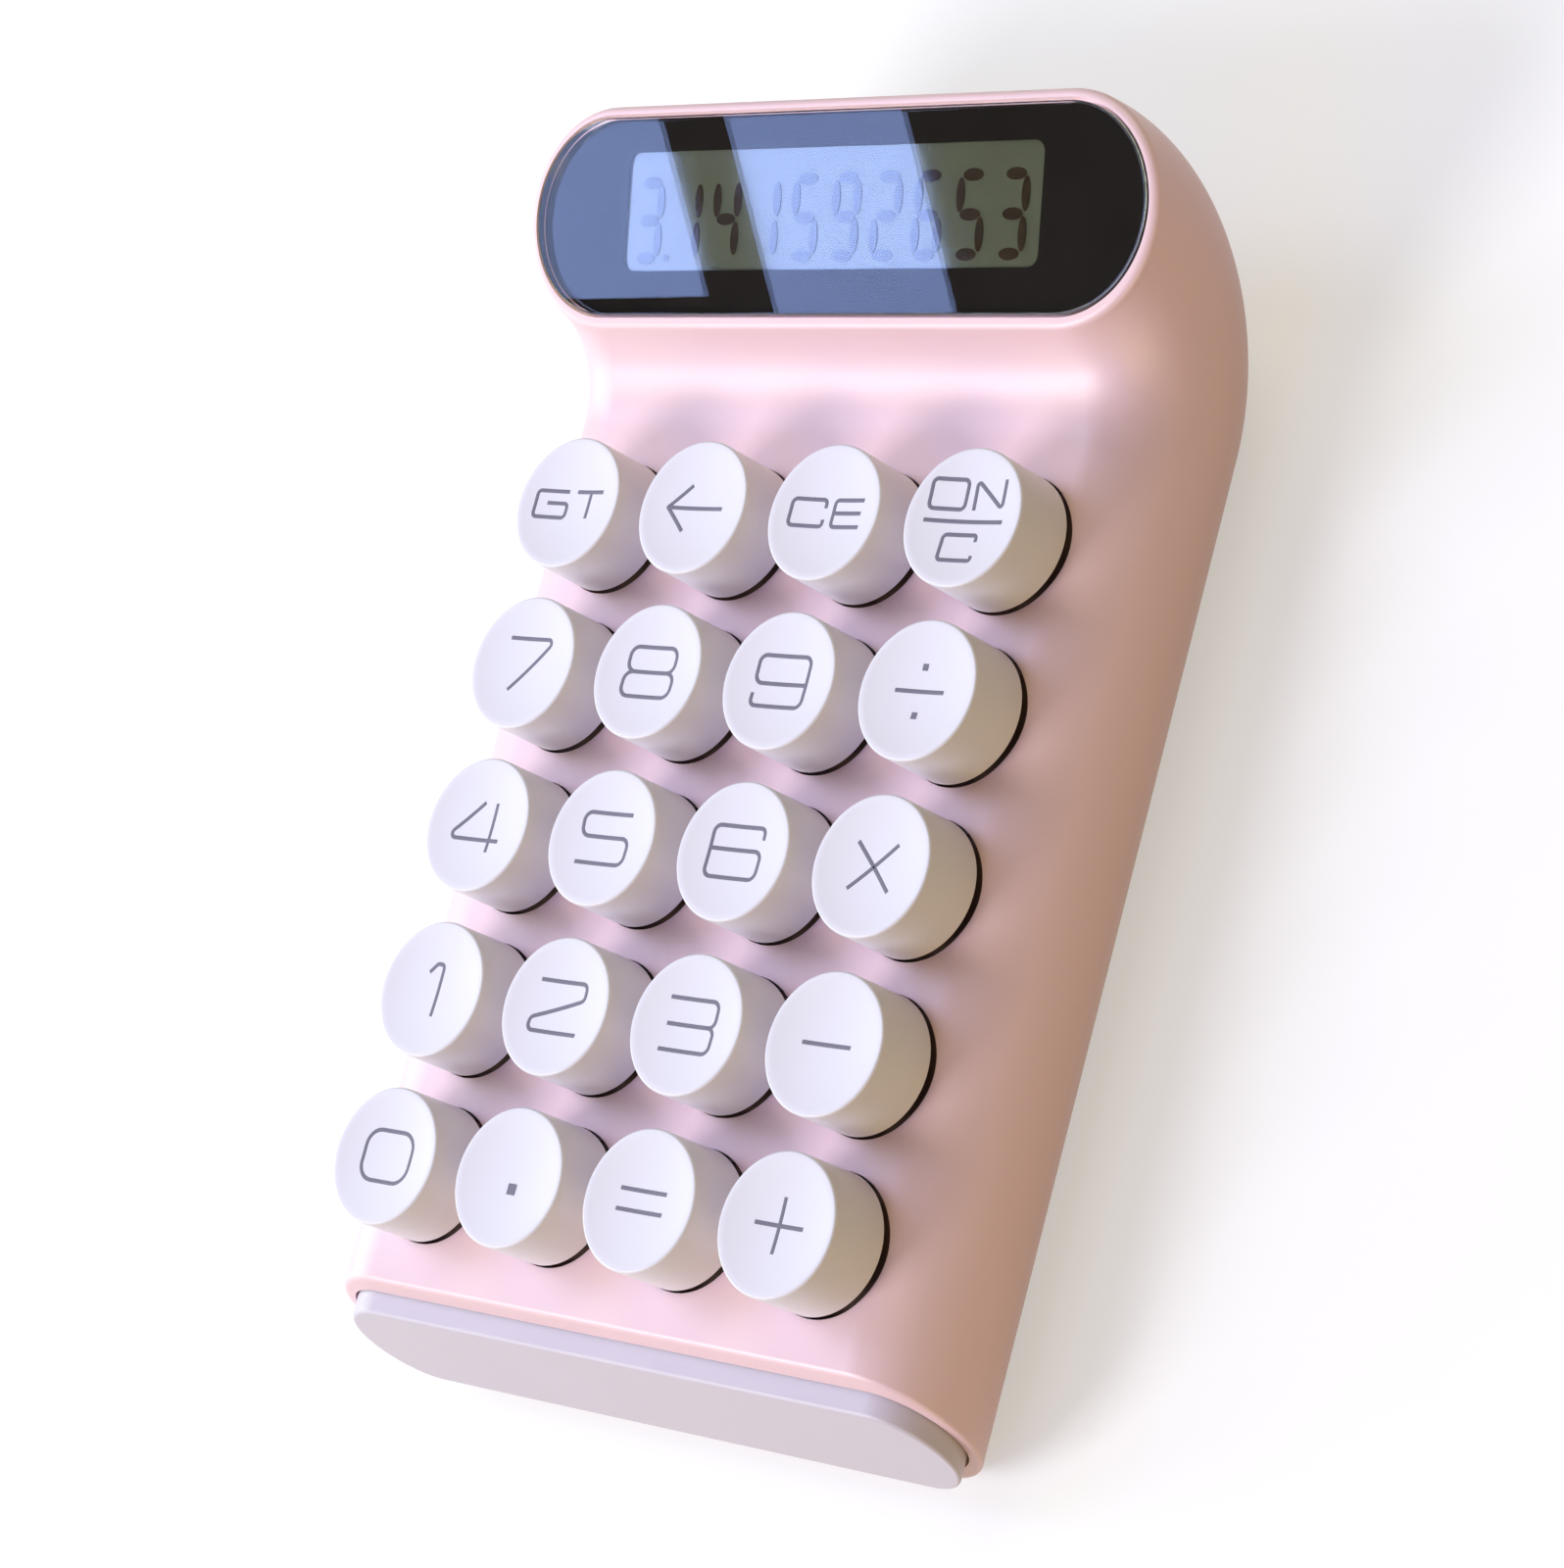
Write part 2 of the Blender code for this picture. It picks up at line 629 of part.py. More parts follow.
def place_in_head(thing):
    """Puts an object on the rim's centre, with its own XY plane in the rim's plane."""
    thing.location = (0, RIM_CENTRE[0], RIM_CENTRE[1])
    thing.rotation_euler = (RIM_TILT, 0, 0)


def make_screen(parts, cutters):
    """The liquid crystal panel and the frame that holds it behind the window."""
    panel_centre = (0, 0, SCREEN_TOP - SCREEN_THICKNESS / 2)
    panel_size = (SCREEN_WIDTH, SCREEN_HEIGHT, SCREEN_THICKNESS)
    panel = add_object(
        "lcd_panel",
        mesh_from("lcd_panel", lambda shape: add_box(shape, panel_size, panel_centre)),
        SCREEN_OLIVE,
        parts,
    )
    place_in_head(panel)

    frame_height = SCREEN_TOP - FRAME_BOTTOM
    pocket = (SCREEN_WIDTH + 2 * FIT_GAP, SCREEN_HEIGHT + 2 * FIT_GAP)
    outer = (pocket[0] + 2 * FRAME_BORDER, pocket[1] + 2 * FRAME_BORDER, frame_height)
    frame_centre = (0, 0, SCREEN_TOP - frame_height / 2)
    frame = add_object(
        "lcd_frame",
        mesh_from("lcd_frame", lambda shape: add_rounded_box(shape, outer, frame_centre, FRAME_BORDER)),
        PLASTIC_BLACK,
        parts,
    )
    place_in_head(frame)

    def hollow(shape):
        floor = FRAME_BOTTOM + FRAME_FLOOR
        height = SCREEN_TOP + CUT_OVERRUN - floor
        add_box(shape, (*pocket, height), (0, 0, floor + height / 2))

    cutter = helper("lcd_pocket_cutter", hollow, cutters)
    place_in_head(cutter)
    combine(frame, cutter, "DIFFERENCE")


def in_head(across, level):
    """Y and Z of a point across the rim towards the keys and above the rim's plane."""
    return RIM_CENTRE + RIM_UP * across + RIM_NORMAL * level


def smooth_path(points, steps):
    """Points on a smooth curve through the given ones."""
    path = []
    last = len(points) - 1
    for index in range(last):
        before = points[max(index - 1, 0)]
        start, end = points[index], points[index + 1]
        after = points[min(index + 2, last)]
        for step in range(steps):
            share = step / steps
            pull_out = (end - before) * (share * (1 - share) ** 2 / 2)
            pull_in = (after - start) * (share**2 * (1 - share) / 2)
            ease = share * share * (3 - 2 * share)
            path.append(blend(start, end, ease) + pull_out - pull_in)
    path.append(points[last])
    return path


def strip_mesh(name, path, width, along_x):
    """An open strip along a path, which runs in the YZ plane or, along X, in the XZ plane."""

    def build(shape):
        rows = []
        for point in path:
            row = []
            for side in (-width / 2, width / 2):
                place = (point[0], side, point[1]) if along_x else (side, point[0], point[1])
                row.append(shape.verts.new(place))
            rows.append(row)
        for first, second in zip(rows, rows[1:]):
            shape.faces.new((first[0], first[1], second[1], second[0]))

    return mesh_from(name, build)


def thicken(thing, thickness):
    """Gives a strip its thickness, half to each side."""
    solid = thing.modifiers.new("thickness", "SOLIDIFY")
    solid.thickness = thickness
    solid.offset = 0.0
    solid.use_even_offset = True


def make_ribbon(parts):
    """The flat cable from under the screen, down through the bend, to the underside of the board."""
    seat = FIT_GAP + RIBBON_THICKNESS / 2
    board_level = BOARD_BOTTOM - seat
    board_edge = FIELD_Y + PLATE_DEPTH / 2
    screen_level = FRAME_BOTTOM - seat
    reach = SCREEN_HEIGHT / 2
    points = [
        Vector((board_edge - RIBBON_LAP, board_level)),
        Vector((board_edge, board_level)),
        Vector((board_edge + RIBBON_LAP, board_level + RIBBON_LAP / 5)),
        in_head(reach, screen_level - 2 * RIBBON_LAP / 3),
        in_head(reach - RIBBON_LAP / 3, screen_level - RIBBON_LAP / 10),
        in_head(reach - RIBBON_LAP, screen_level),
        in_head(reach - 2 * RIBBON_LAP, screen_level),
    ]
    path = smooth_path(points, RIBBON_STEPS)
    ribbon = add_object(
        "flex_cable", strip_mesh("flex_cable", path, RIBBON_WIDTH, False), RIBBON_AMBER, parts
    )
    thicken(ribbon, RIBBON_THICKNESS)


def make_sheet(name, level, thickness, look, parts, cutters, more_holes=None):
    """A sheet of the key field's size, with peg holes and any others."""
    size = (PLATE_WIDTH, PLATE_DEPTH, thickness)
    centre = (0, FIELD_Y, level - thickness / 2)
    corner = COVER_CORNER - OPENING_MARGIN
    sheet = add_object(
        name, mesh_from(name, lambda shape: add_rounded_box(shape, size, centre, corner)), look, parts
    )
    low, high = level - thickness - CUT_OVERRUN, level + CUT_OVERRUN

    def holes(shape):
        for _, x, y in post_places():
            add_cylinder(shape, PEG_HOLE_RADIUS, low, high, (x, y), POST_SIDES)
        if more_holes:
            more_holes(shape, low, high)

    combine(sheet, helper(f"{name}_cutter", holes, cutters), "DIFFERENCE")


def make_plate_and_board(parts, cutters):
    """The steel plate that holds the switches, and the circuit board below it."""

    def switch_holes(shape, low, high):
        for _, x, y in key_places():
            add_box(shape, (SWITCH_HOLE, SWITCH_HOLE, high - low), (x, y, (low + high) / 2))

    make_sheet("switch_plate", PLATE_TOP, PLATE_THICKNESS, STEEL, parts, cutters, switch_holes)
    make_sheet("main_board", BOARD_TOP, BOARD_THICKNESS, BOARD_GREEN, parts, cutters)


def switch_mesh(parts, cutters):
    """The housing of one switch: a square block with a flange and a bore for the stem."""

    def body(shape):
        size = (SWITCH_WIDTH, SWITCH_WIDTH, SWITCH_HEIGHT)
        add_box(shape, size, (0, 0, (SWITCH_TOP + SWITCH_BOTTOM) / 2))

    def flange(shape):
        size = (FLANGE_WIDTH, FLANGE_WIDTH, FLANGE_HEIGHT)
        add_box(shape, size, (0, 0, FLANGE_BOTTOM + FLANGE_HEIGHT / 2))

    def bore(shape):
        low, high = SWITCH_BOTTOM + SWITCH_FLOOR, SWITCH_TOP + CUT_OVERRUN
        add_cylinder(shape, STEM_RADIUS + FIT_GAP, low, high, (0, 0), BORE_SIDES)

    block = add_object("switch_pattern", mesh_from("switch", body), None, parts)
    combine(block, helper("switch_flange_form", flange, cutters), "UNION")
    combine(block, helper("switch_bore_cutter", bore, cutters), "DIFFERENCE")
    mesh = settled_mesh(block, "switch_housing")
    mesh.materials.clear()
    mesh.materials.append(finish(PLASTIC_BROWN))
    return mesh


def make_keys(parts, cutters):
    """Each key: a hollow cap with its stem, and the switch below it."""
    under_top = KEY_FACE_HEIGHT - KEY_DISH - KEY_TOP
    stem_bottom = SWITCH_TOP - STEM_REACH
    profile = [(0, KEY_FACE_HEIGHT - KEY_DISH)]
    for share in reversed(KEY_DISH_SHARES):
        rise = KEY_DISH * (1 - share * share)
        profile.append((share * (KEY_RADIUS - KEY_EDGE), KEY_FACE_HEIGHT - rise))
    for inset, depth in edge_steps(KEY_EDGE):
        profile.append((KEY_RADIUS - inset, KEY_FACE_HEIGHT - depth))
    profile += [
        (KEY_RADIUS, KEY_LIFT),
        (KEY_RADIUS - KEY_WALL, KEY_LIFT),
        (KEY_RADIUS - KEY_WALL, under_top),
        (STEM_RADIUS, under_top),
        (STEM_RADIUS, stem_bottom),
        (0, stem_bottom),
    ]
    cap_mesh = turned_mesh("keycap", profile)
    housing_mesh = switch_mesh(parts, cutters)
    for name, x, y in key_places():
        cap = add_object(f"keycap_{name}", cap_mesh, PLASTIC_WHITE, parts, (x, y, 0))
        turn(cap, KEY_SIDES)
        add_object(f"switch_{name}", housing_mesh, PLASTIC_BROWN, parts, (x, y, 0))


def make_base_cover(parts, cutters):
    """The cover of the underside, with screw posts, the cell's well and the door's hole."""

    def slab(shape):
        size = (COVER_WIDTH, COVER_DEPTH, COVER_THICKNESS + CUT_OVERRUN)
        centre = (0, FIELD_Y, COVER_TOP - size[2] / 2)
        add_rounded_box(shape, size, centre, COVER_CORNER - FIT_GAP)

    cover = add_object("base_cover", mesh_from("base_cover", slab), PLASTIC_PINK, parts)

    def skin(shape):
        add_loft(shape, outer_rings())

    def posts(shape):
        for _, x, y in post_places():
            add_cylinder(shape, POST_RADIUS, COVER_TOP - COVER_THICKNESS / 2, POST_TOP, (x, y), POST_SIDES)

    def screw_holes(shape):
        head_seat = BASE_Z + SCREW_RECESS + SCREW_HEAD_HEIGHT + FIT_GAP
        for _, x, y in post_places():
            head_hole = SCREW_HEAD_RADIUS + FIT_GAP
            add_cylinder(shape, head_hole, BASE_Z - CUT_OVERRUN, head_seat, (x, y), POST_SIDES)

    def screw_bores(shape):
        for _, x, y in post_places():
            low, high = BASE_Z - CUT_OVERRUN, POST_TOP + CUT_OVERRUN
            add_cylinder(shape, SCREW_BORE_RADIUS, low, high, (x, y), BORE_SIDES)

    def door_hole(shape):
        low, high = BASE_Z - CUT_OVERRUN, COVER_TOP + FIT_GAP
        add_cylinder(shape, DOOR_HOLE_RADIUS, low, high, (0, CELL_Y), CELL_SIDES)

    def door_notches(shape):
        low, high = BASE_Z - CUT_OVERRUN, COVER_TOP + FIT_GAP
        size = (2 * (TAB_RADIUS + FIT_GAP), DOOR_TAB_WIDTH + 2 * FIT_GAP, high - low)
        made = add_box(shape, size, (0, 0, (low + high) / 2))
        turned = Vector((math.cos(DOOR_TURN), math.sin(DOOR_TURN)))
        for vert in made:
            x, y = vert.co.x, vert.co.y
            vert.co.x = x * turned[0] + y * turned[1]
            vert.co.y = CELL_Y - x * turned[1] + y * turned[0]

    def contact_notch(shape):
        size = (2 * WELL_WALL + FIT_GAP, CONTACT_WIDTH + 2 * FIT_GAP, WELL_TOP - CELL_BOTTOM + CUT_OVERRUN)
        centre = (-(WELL_RADIUS + WELL_WALL / 2), CELL_Y, WELL_TOP + CUT_OVERRUN - size[2] / 2)
        add_box(shape, size, centre)

    ring_foot = TAB_RADIUS + 2 * FIT_GAP
    ring_profile = [
        (WELL_RADIUS, WELL_TOP),
        (WELL_RADIUS + WELL_WALL, WELL_TOP),
        (WELL_RADIUS + WELL_WALL, CELL_BOTTOM + WELL_ROOF),
        (ring_foot + WELL_WALL, CELL_BOTTOM + WELL_ROOF),
        (ring_foot + WELL_WALL, COVER_TOP - COVER_THICKNESS / 2),
        (ring_foot, COVER_TOP - COVER_THICKNESS / 2),
        (ring_foot, CELL_BOTTOM),
        (WELL_RADIUS, CELL_BOTTOM),
        (WELL_RADIUS, WELL_TOP),
    ]
    well = turned_mesh("cell_well", ring_profile)
    ring = add_object("cell_well_form", well, None, cutters, (0, CELL_Y, 0))
    turn(ring, CELL_SIDES)
    ring.hide_render = True
    ring.display_type = "WIRE"

    combine(cover, helper("housing_form", skin, cutters), "INTERSECT")
    combine(cover, helper("cover_post_form", posts, cutters), "UNION")
    combine(cover, ring, "UNION")
    combine(cover, helper("screw_head_cutter", screw_holes, cutters), "DIFFERENCE")
    combine(cover, helper("cover_bore_cutter", screw_bores, cutters), "DIFFERENCE")
    combine(cover, helper("door_hole_cutter", door_hole, cutters), "DIFFERENCE")
    combine(cover, helper("door_notch_cutter", door_notches, cutters), "DIFFERENCE")
    combine(cover, helper("contact_notch_cutter", contact_notch, cutters), "DIFFERENCE")


def make_screws(parts, cutters):
    """Four slotted pan-head screws from the cover up into the housing's posts."""
    head_bottom = BASE_Z + SCREW_RECESS
    head_top = head_bottom + SCREW_HEAD_HEIGHT
    tip = BOARD_BOTTOM + SCREW_BITE
    profile = [
        (0, tip),
        (SCREW_RADIUS, tip - SCREW_RADIUS),
        (SCREW_RADIUS, head_top),
        (SCREW_HEAD_RADIUS, head_top),
        (SCREW_HEAD_RADIUS, head_bottom),
        (0, head_bottom),
    ]
    mesh = turned_mesh("cover_screw", profile)
    for name, x, y in post_places():
        screw = add_object(f"cover_screw_{name}", mesh, STEEL, parts, (x, y, 0))
        turn(screw, BORE_SIDES)

        def slot(shape):
            size = (2 * SCREW_HEAD_RADIUS + CUT_OVERRUN, SCREW_SLOT_WIDTH, SCREW_SLOT_DEPTH + CUT_OVERRUN)
            add_box(shape, size, (x, y, head_bottom + SCREW_SLOT_DEPTH - size[2] / 2))

        combine(screw, helper(f"screw_slot_{name}", slot, cutters), "DIFFERENCE")


def make_cell_door(parts, cutters):
    """The round door below the cell, turned with a coin, with two tabs that hook over the cover."""
    boss = DOOR_RADIUS - DOOR_BOSS_INSET
    profile = [
        (0, TAB_TOP),
        (boss, TAB_TOP),
        (boss, COVER_TOP),
        (DOOR_RADIUS, COVER_TOP),
        (DOOR_RADIUS, BASE_Z),
        (0, BASE_Z),
    ]
    door = add_object("cell_door", turned_mesh("cell_door", profile), PLASTIC_PINK, parts, (0, CELL_Y, 0))
    turn(door, CELL_SIDES)

    def tabs(shape):
        for side in (-1, 1):
            inner = boss - DOOR_TAB_REACH
            size = (TAB_RADIUS - inner, DOOR_TAB_WIDTH, DOOR_TAB_HEIGHT)
            centre = (side * (TAB_RADIUS + inner) / 2, CELL_Y, (TAB_BOTTOM + TAB_TOP) / 2)
            add_box(shape, size, centre)

    def coin_slot(shape):
        size = (COIN_SLOT_LENGTH, COIN_SLOT_WIDTH, COIN_SLOT_DEPTH + CUT_OVERRUN)
        centre = (0, CELL_Y, BASE_Z + COIN_SLOT_DEPTH - size[2] / 2)
        add_rounded_box(shape, size, centre, COIN_SLOT_WIDTH * COIN_SLOT_END_SHARE)

    combine(door, helper("door_tab_form", tabs, cutters), "UNION")
    combine(door, helper("coin_slot_cutter", coin_slot, cutters), "DIFFERENCE")


def make_cell(parts):
    """The lithium coin cell, with its stepped negative can."""
    profile = [
        (0, CELL_TOP),
        (CELL_RADIUS - CELL_STEP, CELL_TOP),
        (CELL_RADIUS - CELL_STEP, CELL_TOP - CELL_STEP),
        (CELL_RADIUS, CELL_TOP - CELL_STEP),
        (CELL_RADIUS, CELL_BOTTOM),
        (0, CELL_BOTTOM),
    ]
    cell = add_object("coin_cell", turned_mesh("coin_cell", profile), STEEL, parts, (0, CELL_Y, 0))
    turn(cell, CELL_SIDES)


def make_contacts(parts):
    """The two sprung strips under the board: one bears on the cell's top, one on its side."""
    seat = FIT_GAP + CONTACT_THICKNESS / 2
    pad_level = BOARD_BOTTOM - seat
    top_level = CELL_TOP + seat
    pad_start = WELL_RADIUS + WELL_WALL + CONTACT_PAD
    negative = [
        Vector((pad_start, pad_level)),
        Vector((pad_start - CONTACT_PAD, pad_level)),
        Vector((CELL_RADIUS - CONTACT_PAD, top_level)),
        Vector((0, top_level)),
    ]
    grip_x = -(CELL_RADIUS + seat)
    positive = [
        Vector((-pad_start, pad_level)),
        Vector((grip_x, pad_level)),
        Vector((grip_x, CELL_TOP - CONTACT_GRIP)),
    ]
    for name, path in (("cell_contact_negative", negative), ("cell_contact_positive", positive)):
        mesh = strip_mesh(name, path, CONTACT_WIDTH, True)
        strip = add_object(name, mesh, CONTACT_NICKEL, parts, (0, CELL_Y, 0))
        thicken(strip, CONTACT_THICKNESS)


def make_chip(parts):
    """The controller, a drop of black resin under the board."""
    top = BOARD_BOTTOM - FIT_GAP
    profile = [
        (0, top),
        (CHIP_RADIUS, top),
        (CHIP_RADIUS - CHIP_CROWN / 2, top - CHIP_HEIGHT + CHIP_CROWN),
        (CHIP_RADIUS - 2 * CHIP_CROWN, top - CHIP_HEIGHT),
        (0, top - CHIP_HEIGHT),
    ]
    mesh = turned_mesh("controller_chip", profile)
    chip = add_object("controller_chip", mesh, RESIN, parts, (0, CHIP_ROW_SHARE * ROW_PITCH, 0))
    turn(chip, POST_SIDES)


def make_feet(parts):
    """Two rubber strips in their pockets under the housing."""
    height = FOOT_PROUD + FOOT_POCKET - FIT_GAP
    size = (FOOT_LENGTH, FOOT_DEPTH, height)
    for name, y in (("front_foot", FRONT_FOOT_Y), ("rear_foot", REAR_FOOT_Y)):

        def build(shape):
            add_rounded_box(shape, size, (0, y, BASE_Z - FOOT_PROUD + height / 2), FOOT_CORNER)

        add_object(name, mesh_from(name, build), RUBBER, parts)


def main():
    """Builds the calculator with its origin at the centre of its footprint, on the desk."""
    clear_scene()
    scene_collection = bpy.context.scene.collection
    parts = new_collection("desktop_calculator", scene_collection)
    cutters = new_collection("cutters", scene_collection)
    cutters.hide_render = True
    carrier = bpy.data.objects.new("calculator", None)
    carrier.location = (0, -(FRONT_Y + BACK_Y) / 2, BODY_HEIGHT + FOOT_PROUD)
    parts.objects.link(carrier)
    shade_round(make_housing(parts, cutters))
    make_front_cap(parts)
    make_lens(parts)
    make_screen(parts, cutters)
    make_ribbon(parts)
    make_plate_and_board(parts, cutters)
    make_keys(parts, cutters)
    make_base_cover(parts, cutters)
    make_screws(parts, cutters)
    make_cell_door(parts, cutters)
    make_cell(parts)
    make_contacts(parts)
    make_chip(parts)
    make_feet(parts)


main()
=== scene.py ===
"""Looks of the desktop calculator: its finishes, printed legends, screen and studio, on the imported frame."""

from __future__ import annotations

import logging
import math
from dataclasses import dataclass, field
from enum import Enum
from typing import Callable, Iterator, Sequence

import bmesh
import bpy
from mathutils import Euler, Matrix, Vector


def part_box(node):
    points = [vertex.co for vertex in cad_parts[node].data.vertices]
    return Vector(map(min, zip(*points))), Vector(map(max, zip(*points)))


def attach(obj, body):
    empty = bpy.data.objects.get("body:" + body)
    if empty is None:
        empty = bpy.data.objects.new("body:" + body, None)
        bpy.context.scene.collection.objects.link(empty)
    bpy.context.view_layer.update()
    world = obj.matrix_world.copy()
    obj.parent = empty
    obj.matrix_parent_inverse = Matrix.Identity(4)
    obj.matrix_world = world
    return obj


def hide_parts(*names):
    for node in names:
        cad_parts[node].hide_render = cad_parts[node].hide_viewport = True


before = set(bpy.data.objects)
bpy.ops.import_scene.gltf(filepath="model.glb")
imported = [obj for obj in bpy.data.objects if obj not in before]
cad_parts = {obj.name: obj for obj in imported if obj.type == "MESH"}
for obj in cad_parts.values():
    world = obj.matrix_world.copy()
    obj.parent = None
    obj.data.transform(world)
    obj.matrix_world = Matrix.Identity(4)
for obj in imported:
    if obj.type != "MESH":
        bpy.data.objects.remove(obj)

MM = 0.001
SMOOTH_ANGLE = math.radians(32)
MERGE = 0.001 * MM
OVERRUN = 1.0 * MM
CORNER_FACETS = 8
NOISE_MIDDLE = (0.3, 0.7)
GRAIN_DETAIL = 3.0
WHITE_LIGHT = (1.0, 1.0, 1.0)
HOUSING = "housing"
KEY_ROWS = (
    ("0", "point", "equals", "plus"),
    ("1", "2", "3", "minus"),
    ("4", "5", "6", "multiply"),
    ("7", "8", "9", "divide"),
    ("grand_total", "backspace", "clear_entry", "on_clear"),
)

log = logging.getLogger("calculator")
Pair = tuple[float, float]
Triple = tuple[float, float, float]
Colour = Triple
Piece = bpy.types.Object
Socket = bpy.types.NodeSocket


class Slot(Enum):
    """The record's material slots, passed along with each new piece."""

    SHELL = "shell_pink"
    CAP = "cap_white"
    KEY = "key_white"
    WINDOW = "window_black"
    SCREEN = "screen_olive"


class NodePen:
    """Writes nodes into one tree."""

    def __init__(self, tree: bpy.types.NodeTree) -> None:
        """Takes the tree to write in."""
        self.tree = tree

    def add(self, kind: str, **values: object) -> bpy.types.Node:
        """Adds a node and sets its own properties.

        Args:
            kind: The node's type name.
            values: Properties of the node.

        Returns:
            The new node.
        """
        node = self.tree.nodes.new(kind)
        for name, value in values.items():
            setattr(node, name, value)
        return node

    def link(self, source: Socket, target: Socket) -> None:
        """Joins two sockets."""
        self.tree.links.new(source, target)

    def mix(self, share: Socket, first: Colour, second: Colour) -> Socket:
        """A mix of two colours.

        Args:
            share: The second colour's share.
            first: The colour at 0.
            second: The colour at 1.

        Returns:
            The mixed colour.
        """
        node = self.add("ShaderNodeMix", data_type="RGBA")
        node.inputs["A"].default_value = (*first, 1.0)
        node.inputs["B"].default_value = (*second, 1.0)
        self.link(share, node.inputs["Factor"])
        return next(socket for socket in node.outputs if socket.type == "RGBA")

    def seen_directly(self) -> Socket:
        """A value of 1 for camera, glossy and transmission rays that no dull surface has scattered.

        Returns:
            The value.
        """
        path = self.add("ShaderNodeLightPath")
        value = path.outputs["Is Camera Ray"]
        for ray in ("Is Glossy Ray", "Is Transmission Ray"):
            node = self.add("ShaderNodeMath", operation="MAXIMUM")
            self.link(value, node.inputs[0])
            self.link(path.outputs[ray], node.inputs[1])
            value = node.outputs["Value"]
        direct = self.add("ShaderNodeMath", operation="SUBTRACT", use_clamp=True)
        self.link(value, direct.inputs[0])
        self.link(path.outputs["Diffuse Depth"], direct.inputs[1])
        return direct.outputs["Value"]


class MaterialPen(NodePen):
    """Writes the nodes of one material."""

    def __init__(self, name: str) -> None:
        """Starts a material with its Principled shader.

        Args:
            name: The material's name.
        """
        self.material = bpy.data.materials.new(name)
        self.material.use_nodes = True
        super().__init__(self.material.node_tree)
        self.shader = self.tree.nodes["Principled BSDF"]
        self.output = self.tree.nodes["Material Output"]
        self.place = self.add("ShaderNodeTexCoord").outputs["Object"]

    def fill(self, values: dict[str, float | Sequence[float]]) -> None:
        """Sets sockets of the shader by their names."""
        for name, value in values.items():
            self.shader.inputs[name].default_value = value

    def noise(self, scale: float, detail: float = 2.0, stretch: Triple = (1, 1, 1)) -> Socket:
        """A noise over the piece's own coordinates.

        Args:
            scale: Waves per metre.
            detail: Octaves.
            stretch: How much finer the pattern is along each axis.

        Returns:
            The noise's value.
        """
        mapping = self.add("ShaderNodeMapping")
        mapping.inputs["Scale"].default_value = stretch
        self.link(self.place, mapping.inputs["Vector"])
        node = self.add("ShaderNodeTexNoise")
        node.inputs["Scale"].default_value = scale
        node.inputs["Detail"].default_value = detail
        self.link(mapping.outputs["Vector"], node.inputs["Vector"])
        return node.outputs["Fac"]

    def spread(self, value: Socket, low: float, high: float) -> Socket:
        """Maps the middle of a noise to a range.

        Args:
            value: The noise.
            low: What its lower values become.
            high: What its upper values become.

        Returns:
            The mapped value.
        """
        node = self.add("ShaderNodeMapRange")
        node.inputs["From Min"].default_value, node.inputs["From Max"].default_value = NOISE_MIDDLE
        node.inputs["To Min"].default_value = low
        node.inputs["To Max"].default_value = high
        self.link(value, node.inputs["Value"])
        return node.outputs["Result"]

    def bump(self, height: Socket, distance: float) -> None:
        """Raises the surface by a height map.

        Args:
            height: The map.
            distance: Its full height in metres.
        """
        node = self.add("ShaderNodeBump")
        node.inputs["Distance"].default_value = distance
        self.link(height, node.inputs["Height"])
        self.link(node.outputs["Normal"], self.shader.inputs["Normal"])


@dataclass(frozen=True)
class Finish:
    """A surface with moulded, ground or printed grain, in one colour that wanders a little."""

    name: str
    colour: Colour
    roughness: float
    metallic: float = 0.0
    wander: float = 0.02
    wander_scale: float = 60.0
    roughness_spread: float = 0.04
    grain: float = 0.004 * MM
    grain_scale: float = 2600.0
    stretch: Triple = (1, 1, 1)
    specular: float = 0.5

    def material(self) -> bpy.types.Material:
        """The finish as a material, made on first use.

        Returns:
            The material.
        """
        found = bpy.data.materials.get(self.name)
        if found:
            return found
        pen = MaterialPen(self.name)
        pen.fill({"Metallic": self.metallic, "Specular IOR Level": self.specular})
        darker = tuple(part * (1 - self.wander) for part in self.colour)
        lighter = tuple(min(part * (1 + self.wander), 1.0) for part in self.colour)
        share = pen.spread(pen.noise(self.wander_scale), 0.0, 1.0)
        pen.link(pen.mix(share, darker, lighter), pen.shader.inputs["Base Color"])
        fine = pen.noise(self.grain_scale, GRAIN_DETAIL, self.stretch)
        low, high = self.roughness - self.roughness_spread, self.roughness + self.roughness_spread
        pen.link(pen.spread(fine, low, high), pen.shader.inputs["Roughness"])
        if self.grain:
            pen.bump(fine, self.grain)
        return pen.material


@dataclass(frozen=True)
class ClearLens:
    """The window's clear acrylic, which lets lamps through to the screen below."""

    name: str = "lens_clear"
    colour: Colour = (0.93, 0.93, 0.94)
    roughness: float = 0.0
    index: float = 1.3

    def material(self) -> bpy.types.Material:
        """The acrylic as a material.

        Returns:
            The material.
        """
        pen = MaterialPen(self.name)
        tint = (*self.colour, 1.0)
        pen.fill({"Base Color": tint, "Transmission Weight": 1.0})
        pen.fill({"IOR": self.index, "Roughness": self.roughness})
        through = pen.add("ShaderNodeBsdfTransparent")
        through.inputs["Color"].default_value = tint
        either = pen.add("ShaderNodeMixShader")
        pen.link(pen.add("ShaderNodeLightPath").outputs["Is Shadow Ray"], either.inputs["Fac"])
        pen.link(pen.shader.outputs["BSDF"], either.inputs[1])
        pen.link(through.outputs["BSDF"], either.inputs[2])
        pen.link(either.outputs["Shader"], pen.output.inputs["Surface"])
        return pen.material


